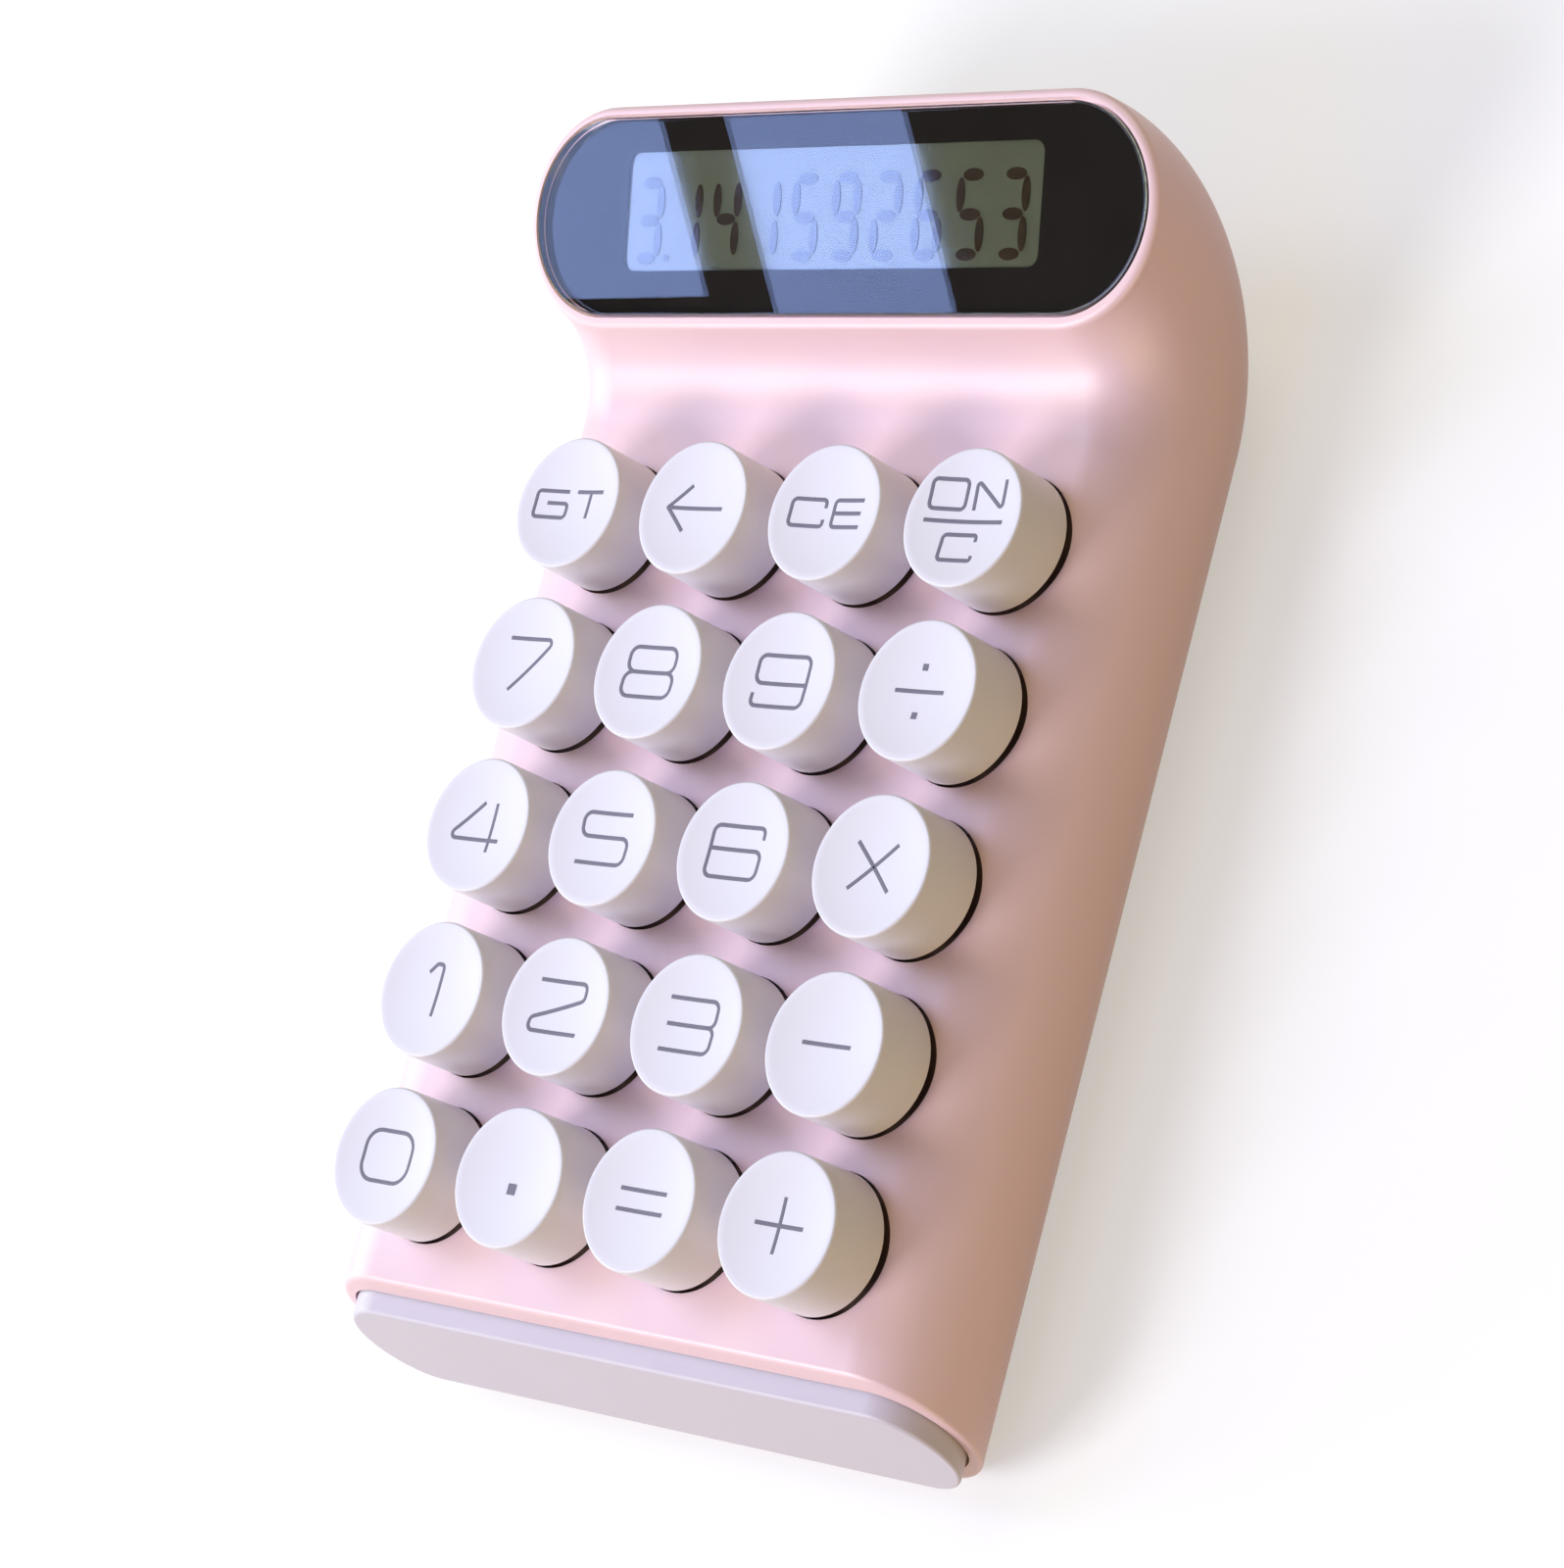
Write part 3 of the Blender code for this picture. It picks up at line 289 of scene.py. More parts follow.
PINK = Finish("shell_satin_pink", (0.868, 0.615, 0.638), 0.42, wander=0.012, grain=0.006 * MM, specular=0.85)
# The plug is the keys' white plastic; this colour is darker and bluer than KEY_WHITE as painted shade and
# painted cool light for its front face.
CAP_WHITE_PAINTED_SHADE = Finish("cap_white_painted_shade", (0.643, 0.592, 0.656), 0.42, wander=0.01, grain=0.005 * MM)
KEY_WHITE = Finish("key_satin_white", (0.80, 0.785, 0.835), 0.4, wander=0.008, grain=0.004 * MM)
LEGEND_GREY = Finish("legend_grey", (0.15, 0.14, 0.19), 0.5, wander=0.05, grain=0.002 * MM)
MASK_BLACK = Finish("mask_print_black", (0.013, 0.011, 0.009), 0.6, wander=0.1, grain=0.0, specular=0.0)
SCREEN = Finish(
    "screen_glass_olive", (0.072, 0.078, 0.046), 0.035, wander=0.03, wander_scale=180.0,
    roughness_spread=0.002, grain=0.0, specular=0.85,
)
SEGMENT = Finish(
    "segment_brown", (0.026, 0.018, 0.010), 0.035, wander=0.08, roughness_spread=0.002, grain=0.0,
    specular=0.85,
)
SWITCH_BROWN = Finish(
    "switch_brown", (0.05, 0.032, 0.024), 0.48, wander=0.08, grain=0.01 * MM, grain_scale=1500.0,
)
FRAME_BLACK = Finish("frame_black", (0.02, 0.02, 0.022), 0.5, wander=0.08, grain=0.008 * MM)
RUBBER = Finish("foot_rubber", (0.045, 0.045, 0.05), 0.78, wander=0.12, grain=0.02 * MM, grain_scale=900.0)
PLATE_STEEL = Finish(
    "plate_steel", (0.56, 0.56, 0.57), 0.3, 1.0, 0.04, 40.0, 0.08, 0.003 * MM, 900.0, (1, 30, 1),
)
SCREW_STEEL = Finish("screw_zinc", (0.60, 0.60, 0.62), 0.28, 1.0, 0.05, 300.0, 0.06, 0.003 * MM, 2400.0)
CELL_STEEL = Finish(
    "cell_steel", (0.66, 0.65, 0.64), 0.22, 1.0, 0.03, 120.0, 0.05, 0.002 * MM, 1200.0, (20, 1, 1),
)
NICKEL = Finish(
    "contact_nickel", (0.64, 0.59, 0.50), 0.26, 1.0, 0.04, 200.0, 0.05, 0.002 * MM, 1400.0, (1, 12, 1),
)
BOARD_GREEN = Finish(
    "board_green", (0.022, 0.13, 0.05), 0.34, wander=0.15, wander_scale=140.0, grain=0.006 * MM,
)
RESIN = Finish("resin_black", (0.014, 0.014, 0.015), 0.3, wander=0.1, grain=0.02 * MM, grain_scale=500.0)
RIBBON = Finish("ribbon_amber", (0.50, 0.20, 0.03), 0.28, wander=0.06, grain=0.004 * MM, stretch=(40, 1, 1))


def placed(name: str, data: bpy.types.ID) -> Piece:
    """A new object in the scene's collection.

    Args:
        name: The object's name.
        data: Its mesh, curve, lamp or camera.

    Returns:
        The object.
    """
    made = bpy.data.objects.new(name, data)
    bpy.context.scene.collection.objects.link(made)
    return made


def activate(piece: Piece) -> None:
    """Selects one piece alone and makes it active.

    Args:
        piece: The piece.
    """
    bpy.ops.object.select_all(action="DESELECT")
    piece.select_set(True)
    bpy.context.view_layer.objects.active = piece


def close_mesh() -> None:
    """Merges the edited mesh's doubles and turns all its faces outwards."""
    bpy.ops.mesh.select_mode(type="VERT")
    bpy.ops.mesh.select_all(action="SELECT")
    bpy.ops.mesh.remove_doubles(threshold=MERGE)
    bpy.ops.mesh.normals_make_consistent(inside=False)


class Shaper:
    """One piece, shaped in edit mode with the modelling operators."""

    def __init__(self, name: str) -> None:
        """Starts an empty piece at the origin, in edit mode.

        Args:
            name: The piece's name.
        """
        self.piece = placed(name, bpy.data.meshes.new(name))
        activate(self.piece)
        bpy.ops.object.mode_set(mode="EDIT")

    def select(self, wanted: Callable[[bmesh.types.BMVert], bool], kind: str = "VERT") -> None:
        """Selects only the points that a test accepts, and what lies between them.

        Args:
            wanted: The test of one point.
            kind: VERT, EDGE or FACE.
        """
        bpy.ops.mesh.select_mode(type="VERT")
        bpy.ops.mesh.select_all(action="DESELECT")
        shape = bmesh.from_edit_mesh(self.piece.data)
        for point in shape.verts:
            if wanted(point):
                point.select_set(True)
        shape.select_flush(True)
        bmesh.update_edit_mesh(self.piece.data)
        if kind != "VERT":
            bpy.ops.mesh.select_mode(type=kind)

    def turned(self, profile: Sequence[Pair], sides: int, place: Pair = (0, 0)) -> None:
        """Draws a round form up from its first face, ring by ring.

        Args:
            profile: Radius and level of each ring, from the first flat face to the last.
            sides: Points in each ring.
            place: X and Y of the axis.
        """
        radius, level = profile[0]
        bpy.ops.mesh.primitive_circle_add(
            vertices=sides, radius=radius, fill_type="NGON", location=(*place, level)
        )
        for next_radius, next_level in profile[1:]:
            rise = {"value": (0, 0, next_level - level)}
            bpy.ops.mesh.extrude_region_move(TRANSFORM_OT_translate=rise)
            share = next_radius / radius
            if share != 1.0:
                centre = (*place, next_level)
                bpy.ops.transform.resize(value=(share, share, 1), center_override=centre)
            radius, level = next_radius, next_level

    def box(self, size: Sequence[float], centre: Sequence[float], corner: float) -> None:
        """Adds a box whose upright edges are rounded.

        Args:
            size: Its sides.
            centre: Its centre.
            corner: The radius of its upright edges.
        """
        bpy.ops.mesh.primitive_cube_add(size=1, location=centre)
        bpy.ops.transform.resize(value=size, center_override=centre)
        bpy.ops.mesh.select_mode(type="EDGE")
        for edge in bmesh.from_edit_mesh(self.piece.data).edges:
            if abs(edge.verts[0].co.z - edge.verts[1].co.z) < size[2] / 2:
                edge.select_set(False)
        bpy.ops.mesh.bevel(offset=corner, segments=CORNER_FACETS, affect="EDGES")

    def done(self) -> Piece:
        """Leaves edit mode with a closed, outward mesh.

        Returns:
            The finished object.
        """
        close_mesh()
        bpy.ops.object.mode_set(mode="OBJECT")
        self.piece.select_set(False)
        return self.piece


@dataclass(frozen=True)
class PillRing:
    """One ring of a flattened tube: where it lies, and how wide, high and round it is."""

    near: Vector
    far: Vector
    half_width: float
    end_radius: float

    @property
    def centre(self) -> Vector:
        """Y and Z of the ring's middle."""
        return (self.near + self.far) / 2

    @property
    def half_height(self) -> float:
        """Half of the ring's short side."""
        return (self.near - self.far).length / 2


class TubeShaper(Shaper):
    """A piece lofted through pill-shaped rings."""

    def __init__(self, name: str, sides: int) -> None:
        """Starts a tube.

        Args:
            name: The piece's name.
            sides: Points in each ring.
        """
        super().__init__(name)
        self.sides = sides
        self.rings = 0

    def add_ring(self, ring: PillRing) -> None:
        """Adds one ring: a circle, squeezed along X and parted in the middle.

        Args:
            ring: The ring's place and sizes.
        """
        rise = (ring.near - ring.far).normalized()
        lean = Matrix.Rotation(math.atan2(rise[1], rise[0]), 3, "X")
        turn = lean @ Matrix.Rotation(math.pi / self.sides, 3, "Z")
        centre = (0, *ring.centre)
        bpy.ops.mesh.primitive_circle_add(
            vertices=self.sides,
            radius=ring.half_height / math.cos(math.pi / self.sides),
            location=centre,
            rotation=turn.to_euler(),
        )
        squeeze = ring.end_radius / ring.half_height
        bpy.ops.transform.resize(value=(squeeze, 1, 1), center_override=centre)
        first = self.rings * self.sides
        for side in (1, -1):
            self.select(lambda point: point.index >= first and side * point.co.x > 0)
            bpy.ops.transform.translate(value=(side * (ring.half_width - ring.end_radius), 0, 0))
        self.rings += 1

    def band(self, first: PillRing, second: PillRing) -> None:
        """Adds two rings and joins them with a band of faces.

        Args:
            first: One ring.
            second: The other ring.
        """
        start = self.rings * self.sides
        self.add_ring(first)
        self.add_ring(second)
        self.select(lambda point: point.index >= start, "EDGE")
        bpy.ops.mesh.bridge_edge_loops()

    def end(self, ring: PillRing) -> None:
        """Adds one ring and fills it with a flat face.

        Args:
            ring: The ring.
        """
        start = self.rings * self.sides
        self.add_ring(ring)
        self.select(lambda point: point.index >= start, "EDGE")
        bpy.ops.mesh.edge_face_add()

    def loft(self, rings: Sequence[PillRing], loop: bool = False) -> Piece:
        """Joins rings in order, band by band; the bands are merged when the piece is closed.

        Args:
            rings: The rings.
            loop: Whether the last joins the first; otherwise both ends are capped.

        Returns:
            The finished object.
        """
        for first, second in zip(rings, rings[1:]):
            self.band(first, second)
        if loop:
            self.band(rings[-1], rings[0])
        else:
            self.end(rings[0])
            self.end(rings[-1])
        return self.done()


def apply_modifier(piece: Piece, kind: str, **values: object) -> None:
    """Adds a modifier to a piece and applies it.

    Args:
        piece: The piece.
        kind: The modifier's type.
        values: Its settings.
    """
    made = piece.modifiers.new(kind.lower(), kind)
    for name, value in values.items():
        setattr(made, name, value)
    activate(piece)
    bpy.ops.object.modifier_apply(modifier=made.name)


def cut(piece: Piece, cutter: Piece) -> None:
    """Takes a cutter's volume out of a piece, and removes the cutter."""
    apply_modifier(piece, "BOOLEAN", operation="DIFFERENCE", solver="MANIFOLD", object=cutter)
    bpy.data.objects.remove(cutter, do_unlink=True)


def shade(piece: Piece, weighted: bool = True) -> None:
    """Shades a piece smooth between its sharp edges.

    Args:
        piece: The piece.
        weighted: Whether large flat faces keep their own normal.
    """
    activate(piece)
    bpy.ops.object.shade_smooth_by_angle(angle=SMOOTH_ANGLE)
    if weighted:
        apply_modifier(piece, "WEIGHTED_NORMAL", keep_sharp=True)
    piece.select_set(False)


def dress(piece: Piece, finish: Finish | ClearLens, slot: Slot, body: str, *nodes: str) -> None:
    """Gives a finished piece its material and body, and hides the CAD nodes that it stands for.

    Args:
        piece: The piece.
        finish: Its finish.
        slot: Not used.
        body: The body that carries it.
        nodes: CAD nodes that it replaces.
    """
    piece.data.materials.clear()
    piece.data.materials.append(finish.material())
    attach(piece, body)
    if nodes:
        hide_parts(*nodes)
    log.info("%s: %d faces", piece.name, len(piece.data.polygons))


def blend(first: float, second: float, share: float) -> float:
    """The value at this share of the way from the first to the second."""
    return first + (second - first) * share


def edge_steps(radius: float, count: int) -> Iterator[Pair]:
    """Inset and depth of each ring of a rounded edge, from its face to its side.

    Args:
        radius: The edge's radius.
        count: Its facets.

    Returns:
        Pairs of inset and depth.
    """
    for step in range(count + 1):
        turned = math.pi / 2 * step / count
        yield radius * (1 - math.sin(turned)), radius * (1 - math.cos(turned))


def middle_of(node: str) -> Pair:
    """X and Y of the middle of a CAD node's box."""
    low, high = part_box(node)
    return (low.x + high.x) / 2, (low.y + high.y) / 2


@dataclass
class KeyField:
    """Where the keys stand: the grid's corner and the level of the deck."""

    face_height: float = 8.5 * MM
    origin: Vector = field(init=False)

    def __post_init__(self) -> None:
        """Reads the first key's place from the frame."""
        low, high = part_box("keycap_0")
        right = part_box("keycap_plus")[1].x
        self.origin = Vector(((low.x + right) / 2, (low.y + high.y) / 2, high.z - self.face_height))

    @staticmethod
    def names() -> Iterator[str]:
        """The names of all keys."""
        for row in KEY_ROWS:
            yield from row

    def place(self, name: str) -> Pair:
        """X and Y of a key's axis."""
        return middle_of(f"keycap_{name}")


@dataclass
class TubeHousing:
    """The pink tube that bends up into the display's rim, with the white plug in its front end."""

    keys: KeyField
    height: float = 19.8 * MM
    half_width: float = 44.2 * MM
    wall: float = 2.0 * MM
    rim_flare: float = 0.95 * MM
    lip: float = -15.85 * MM
    front_lean: float = math.radians(18)
    neck_start: float = 87.2 * MM
    neck_radius: float = 9.7 * MM
    neck_turn: float = math.radians(73.3)
    back_start: float = 92.3 * MM
    back_radius: float = 28.6 * MM
    back_turn: float = math.radians(100.4)
    edge: float = 1.1 * MM
    lip_edge: float = 0.6 * MM
    rim_round_share: float = 0.9
    lens_band: float = 1.4 * MM
    lens_groove: float = 0.3 * MM
    seat_level: float = -1.9 * MM
    cap_side_band: float = 1.45 * MM
    cap_top_band: float = 2.9 * MM
    cap_proud: float = 2.4 * MM
    cap_edge: float = 0.4 * MM
    cap_wall: float = 1.6 * MM
    mouth_depth: float = 4.4 * MM
    gap: float = 0.3 * MM
    key_hole_radius: float = 7.74 * MM
    base_opening: Pair = (76.35 * MM, 94.28 * MM)
    opening_corner: float = 4.0 * MM
    foot_pocket: float = 0.8 * MM
    foot_corner: float = 2.2 * MM
    sides: int = 112
    hole_sides: int = 72
    bend_steps: int = 44
    bend_share: float = 0.94
    edge_facets: int = 6
    inner_share: float = 0.75

    @property
    def half_height(self) -> float:
        """Half of the tube's height."""
        return self.height / 2

    def place(self, local: Vector) -> Vector:
        """Y and Z in the frame of a point given from the first key's axis and the deck."""
        return local + self.keys.origin.yz

    @staticmethod
    def arc(start: Pair, radius: float, turned: float) -> Vector:
        """The point on an arc that leaves its start along +Y and turns up."""
        return Vector((start[0] + radius * math.sin(turned), start[1] + radius * (1 - math.cos(turned))))

    def bend_ends(self, share: float) -> tuple[Vector, Vector]:
        """The points on the deck side and the base side at a share of the bend.

        Args:
            share: 0 where the bend starts, 1 at the rim.

        Returns:
            Both points.
        """
        near = self.arc((self.neck_start, 0), self.neck_radius, self.neck_turn * share)
        far = self.arc((self.back_start, -self.height), self.back_radius, self.back_turn * share)
        return near, far

    def section(
        self, near: Vector, far: Vector, half_width: float, end_radius: float, inset: float = 0.0
    ) -> PillRing:
        """A ring of the tube, drawn in by the inset.

        Args:
            near: The point on the deck side.
            far: The point on the base side.
            half_width: Half of the long side.
            end_radius: The radius of the round ends along X.
            inset: How far inside the skin it lies.

        Returns:
            The ring, in the frame.
        """
        pull = (near - far).normalized() * inset
        return PillRing(
            self.place(near - pull), self.place(far + pull), half_width - inset, end_radius - inset
        )

    def bend_ring(self, share: float, inset: float = 0.0) -> PillRing:
        """A ring in the bend.

        Args:
            share: How far along the bend it lies.
            inset: How far inside the skin it lies.

        Returns:
            The ring.
        """
        near, far = self.bend_ends(share)
        half_width = blend(self.half_width, self.half_width + self.rim_flare, share * share)
        end_radius = blend(self.half_height, self.rim_half_height, share)
        return self.section(near, far, half_width, end_radius, inset)

    @property
    def rim_half_height(self) -> float:
        """Half of the rim's short side."""
        near, far = self.bend_ends(1.0)
        return (near - far).length / 2

    @property
    def rim_half_width(self) -> float:
        """Half of the rim's long side."""
        return self.half_width + self.rim_flare

    def rim_inside(self, inset: float) -> Pair:
        """Half of the rim's long and short side, less an inset."""
        return self.rim_half_width - inset, self.rim_half_height - inset

    @property
    def plug_size(self) -> Pair:
        """Half of the plug's long and short side."""
        return self.half_width - self.cap_side_band, self.half_height - self.cap_top_band

    @property
    def rim_face(self) -> float:
        """The width of the rim's flat face before its edge is rounded."""
        return self.lens_band - self.lens_groove

    @property
    def rim_up(self) -> Vector:
        """The direction across the rim towards the keys, in Y and Z."""
        near, far = self.bend_ends(1.0)
        return (near - far).normalized()

    @property
    def rim_normal(self) -> Vector:
        """The direction that the display faces, in Y and Z."""
        up = self.rim_up
        return Vector((up[1], -up[0]))

    @property
    def rim_centre(self) -> Vector:
        """The middle of the rim, in Y and Z of the frame."""
        near, far = self.bend_ends(1.0)
        return self.place((near + far) / 2)

    def rim_ring(self, half_width: float, half_height: float, level: float) -> PillRing:
        """A ring parallel to the rim.

        Args:
            half_width: Half of its long side.
            half_height: Half of its short side.
            level: How far above the rim it lies.

        Returns:
            The ring.
        """
        centre = self.rim_centre + self.rim_normal * level
        reach = self.rim_up * half_height
        return PillRing(centre + reach, centre - reach, half_width, half_height)

    def end_ring(
        self, half_width: float, half_height: float, forward: float, leaning: bool = True
    ) -> PillRing:
        """A ring of the front end.

        Args:
            half_width: Half of its long side.
            half_height: Half of its short side.
            forward: How far in front of the lip it lies.
            leaning: Whether it leans like the lip; otherwise it stands upright.

        Returns:
            The ring.
        """
        lean = half_height * math.tan(self.front_lean) if leaning else 0.0
        near = Vector((self.lip - forward + lean, half_height - self.half_height))
        far = Vector((self.lip - forward - lean, -half_height - self.half_height))
        return PillRing(self.place(near), self.place(far), half_width, half_height)

    def outer_rings(self) -> list[PillRing]:
        """The rings of the outer skin from the lip to the rim.

        Returns:
            The rings.
        """
        rings = [
            self.end_ring(self.half_width - inset, self.half_height - inset, -depth)
            for inset, depth in edge_steps(self.lip_edge, self.edge_facets)
        ]
        steps = self.bend_steps
        rings += [self.bend_ring(self.bend_share * step / steps) for step in range(steps + 1)]
        return rings + list(self.rim_edge_rings())

    def edge_point(self, corner: Vector, rise: Vector, outward: Vector, share: float) -> Vector:
        """A point on the rounded edge between the skin and the rim's flat face.

        Args:
            corner: Where the two would meet.
            rise: The skin's direction up to the corner.
            outward: The direction away from the rim's middle.
            share: 0 on the skin, 1 on the face.

        Returns:
            Y and Z before the move into the frame.
        """
        lean = math.asin(-rise.dot(outward))
        reach = (1 - math.sin(lean)) / math.cos(lean)
        radius = min(self.edge, self.rim_round_share * self.rim_face / reach)
        turned = blend(lean, math.pi / 2, share)
        centre = corner - outward * (radius * reach) - self.rim_normal * radius
        return centre + (outward * math.cos(turned) + self.rim_normal * math.sin(turned)) * radius

    def rim_edge_rings(self) -> Iterator[PillRing]:
        """The rings of the rim's rounded edge, from the skin to its flat face.

        Returns:
            The rings, one by one.
        """
        rises = [Vector((math.cos(turned), math.sin(turned))) for turned in (self.neck_turn, self.back_turn)]
        side_radius = min(self.edge, self.rim_round_share * self.rim_face)
        corners = self.bend_ends(1.0)
        for step in range(self.edge_facets + 1):
            share = step / self.edge_facets
            near = self.edge_point(corners[0], rises[0], self.rim_up, share)
            far = self.edge_point(corners[1], rises[1], -self.rim_up, share)
            inset = side_radius * (1 - math.cos(math.pi / 2 * share))
            yield self.section(near, far, self.rim_half_width - inset, self.rim_half_height - inset)

    def inner_rings(self) -> list[PillRing]:
        """The rings of the inner skin from the window's seat to the front mouth.

        Returns:
            The rings.
        """
        pocket = self.rim_inside(self.rim_face)
        steps = round(self.bend_steps * self.inner_share)
        bend = [self.bend_ring(self.inner_share * step / steps, self.wall) for step in range(steps, -1, -1)]
        plug_width, plug_height = self.plug_size
        mouth = (plug_width + self.gap, plug_height + self.gap)
        inner = (self.half_width - self.wall, self.half_height - self.wall)
        return [
            self.rim_ring(*pocket, 0.0),
            self.rim_ring(*pocket, self.seat_level),
            self.rim_ring(*self.rim_inside(self.wall), self.seat_level),
            *bend,
            self.end_ring(*inner, -self.mouth_depth - OVERRUN, leaning=False),
            self.end_ring(*mouth, -self.mouth_depth, leaning=False),
            self.end_ring(*mouth, 0.0),
        ]

    def block(self, cutter: Shaper, node: str, size: Sequence[float], corner: float) -> None:
        """Adds a block to a cutter, centred on a node and on the case's underside.

        Args:
            cutter: The cutter.
            node: The CAD node.
            size: The block's sides.
            corner: The radius of its upright edges.
        """
        cutter.box(size, (*middle_of(node), self.keys.origin.z - self.height), corner)

    def shell(self) -> None:
        """The tube with its key holes, base opening and foot pockets."""
        piece = TubeShaper("tube_shell", self.sides).loft(self.outer_rings() + self.inner_rings(), loop=True)
        deck = self.keys.origin.z
        hole = [(self.key_hole_radius, level) for level in (deck - 2 * self.wall, deck + OVERRUN)]
        holes = Shaper("hole_cutter")
        for name in self.keys.names():
            holes.turned(hole, self.hole_sides, self.keys.place(name))
        cut(piece, holes.done())
        opening = Shaper("base_cutter")
        size = (*self.base_opening, 2 * (self.wall + OVERRUN))
        self.block(opening, "base_cover", size, self.opening_corner)
        cut(piece, opening.done())
        pockets = Shaper("pocket_cutter")
        for foot in ("front_foot", "rear_foot"):
            low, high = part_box(foot)
            size = (high.x - low.x + 2 * self.gap, high.y - low.y + 2 * self.gap, 2 * self.foot_pocket)
            self.block(pockets, foot, size, self.foot_corner + self.gap)
        cut(piece, pockets.done())
        shade(piece)
        dress(piece, PINK, Slot.SHELL, HOUSING, "housing_shell")

    def plug(self) -> None:
        """The white plug, hollow behind its leaning face."""
        half_width, half_height = self.plug_size
        rings = [
            self.end_ring(half_width - inset, half_height - inset, self.cap_proud - depth)
            for inset, depth in edge_steps(self.cap_edge, self.edge_facets)
        ]
        rear = self.gap - self.mouth_depth
        inner = (half_width - self.cap_wall, half_height - self.cap_wall)
        rings.append(self.end_ring(half_width, half_height, rear, leaning=False))
        rings.append(self.end_ring(*inner, rear, leaning=False))
        rings.append(self.end_ring(*inner, self.cap_proud - self.cap_wall))
        piece = TubeShaper("front_plug", self.sides).loft(rings)
        shade(piece)
        # The plug's white carries painted shade and painted cool light, not a colour of its own.
        dress(piece, CAP_WHITE_PAINTED_SHADE, Slot.CAP, HOUSING, "front_cap")


@dataclass
class DisplayWindow:
    """The clear pill-shaped window, its black print, and the liquid crystal screen with its digits."""

    housing: TubeHousing
    shown: str = "3.141592653"
    thickness: float = 1.8 * MM
    proud: float = 0.2 * MM
    edge: float = 0.25 * MM
    print_thickness: float = 0.12 * MM
    print_gap: float = 0.03 * MM
    print_margin: float = 0.12 * MM
    opening: Pair = (59.9 * MM, 13.3 * MM)
    opening_shift: Pair = (-0.8 * MM, 0.6 * MM)
    opening_corner: float = 1.4 * MM
    digit_pitch: float = 5.84 * MM
    last_digit: float = 25.2 * MM
    digit_drop: float = 0.4 * MM
    digit_half_width: float = 1.53 * MM
    digit_half_height: float = 4.2 * MM
    lying_segment: Pair = (2.75 * MM, 1.35 * MM)
    standing_segment: Pair = (1.15 * MM, 3.7 * MM)
    point_size: float = 0.8 * MM
    segment_height: float = 0.05 * MM
    slant: float = math.radians(2.5)
    facets: int = 20

    SEGMENTS = {
        "0": "abcdef", "1": "bc", "2": "abged", "3": "abgcd", "4": "fgbc",
        "5": "afgcd", "6": "afgecd", "7": "abc", "8": "abcdefg", "9": "abcdfg",
    }

    def into_head(self) -> Matrix:
        """The turn and move from the screen's own plane to the head, X to the right and Y up the display.

        Returns:
            The move as a matrix.
        """
        up, normal = self.housing.rim_up, self.housing.rim_normal
        centre = self.housing.rim_centre
        columns = ((1, 0, 0), (0, -up[0], -up[1]), (0, normal[0], normal[1]))
        return Matrix.Translation((0, *centre)) @ Matrix(columns).transposed().to_4x4()

    def lens(self) -> None:
        """The clear window with its rounded edge."""
        house = self.housing
        half_width, half_height = house.rim_inside(house.lens_band)
        rings = [
            house.rim_ring(half_width - inset, half_height - inset, self.proud - depth)
            for inset, depth in edge_steps(self.edge, house.edge_facets)
        ]
        rings.append(house.rim_ring(half_width, half_height, self.proud - self.thickness))
        piece = TubeShaper("window_lens", house.sides).loft(rings)
        shade(piece)
        dress(piece, ClearLens(), Slot.WINDOW, HOUSING, "display_lens")

    def mask(self) -> None:
        """The black print behind the window, with the opening for the screen."""
        house = self.housing
        half = house.rim_inside(house.lens_band + self.print_margin)
        top = self.proud - self.thickness - self.print_gap
        rings = [house.rim_ring(*half, level) for level in (top, top - self.print_thickness)]
        piece = TubeShaper("window_mask", house.sides).loft(rings)
        cutter = Shaper("mask_cutter")
        place = (*self.opening_shift, -self.thickness)
        cutter.box((*self.opening, 2 * self.thickness), place, self.opening_corner)
        opening = cutter.done()
        opening.data.transform(self.into_head())
        cut(piece, opening)
        shade(piece, weighted=False)
        dress(piece, MASK_BLACK, Slot.WINDOW, HOUSING)

    def segment_places(self, digit: str) -> Iterator[tuple[float, float, bool]]:
        """Where a digit's segments lie.

        Args:
            digit: The digit.

        Returns:
            Across and up from the digit's middle, and whether the segment stands.
        """
        wide, high = self.digit_half_width, self.digit_half_height
        places = {
            "a": (0, high, False), "g": (0, 0, False), "d": (0, -high, False),
            "b": (wide, high / 2, True), "c": (wide, -high / 2, True),
            "f": (-wide, high / 2, True), "e": (-wide, -high / 2, True),
        }
        for letter in self.SEGMENTS[digit]:
            yield places[letter]

    def digits(self) -> None:
        """The lit segments of the number, just proud of the screen."""
        shaper = Shaper("screen_digits")
        drop = -self.digit_drop
        column = self.last_digit - (len(self.shown.replace(".", "")) - 1) * self.digit_pitch
        for mark in self.shown:
            if mark == ".":
                spot = column - self.digit_pitch / 2
                self.segment(spot, drop - self.digit_half_height, (self.point_size, self.point_size))
                continue
            for across, up, stands in self.segment_places(mark):
                size = self.standing_segment if stands else self.lying_segment
                self.segment(column + across + up * math.tan(self.slant), drop + up, size)
            column += self.digit_pitch
        piece = shaper.done()
        piece.data.transform(self.into_head())
        shade(piece, weighted=False)
        dress(piece, SEGMENT, Slot.SCREEN, HOUSING)

    def segment(self, across: float, up: float, size: Pair) -> None:
        """Adds one oval segment to the edited piece.

        Args:
            across: Its X on the screen.
            up: Its Y on the screen.
            size: Its width and height.
        """
        middle = (across, up, self.housing.seat_level + self.segment_height)
        bpy.ops.mesh.primitive_cylinder_add(
            vertices=self.facets, radius=0.5, depth=self.segment_height, location=middle
        )
        bpy.ops.transform.resize(value=(*size, 1), center_override=middle)


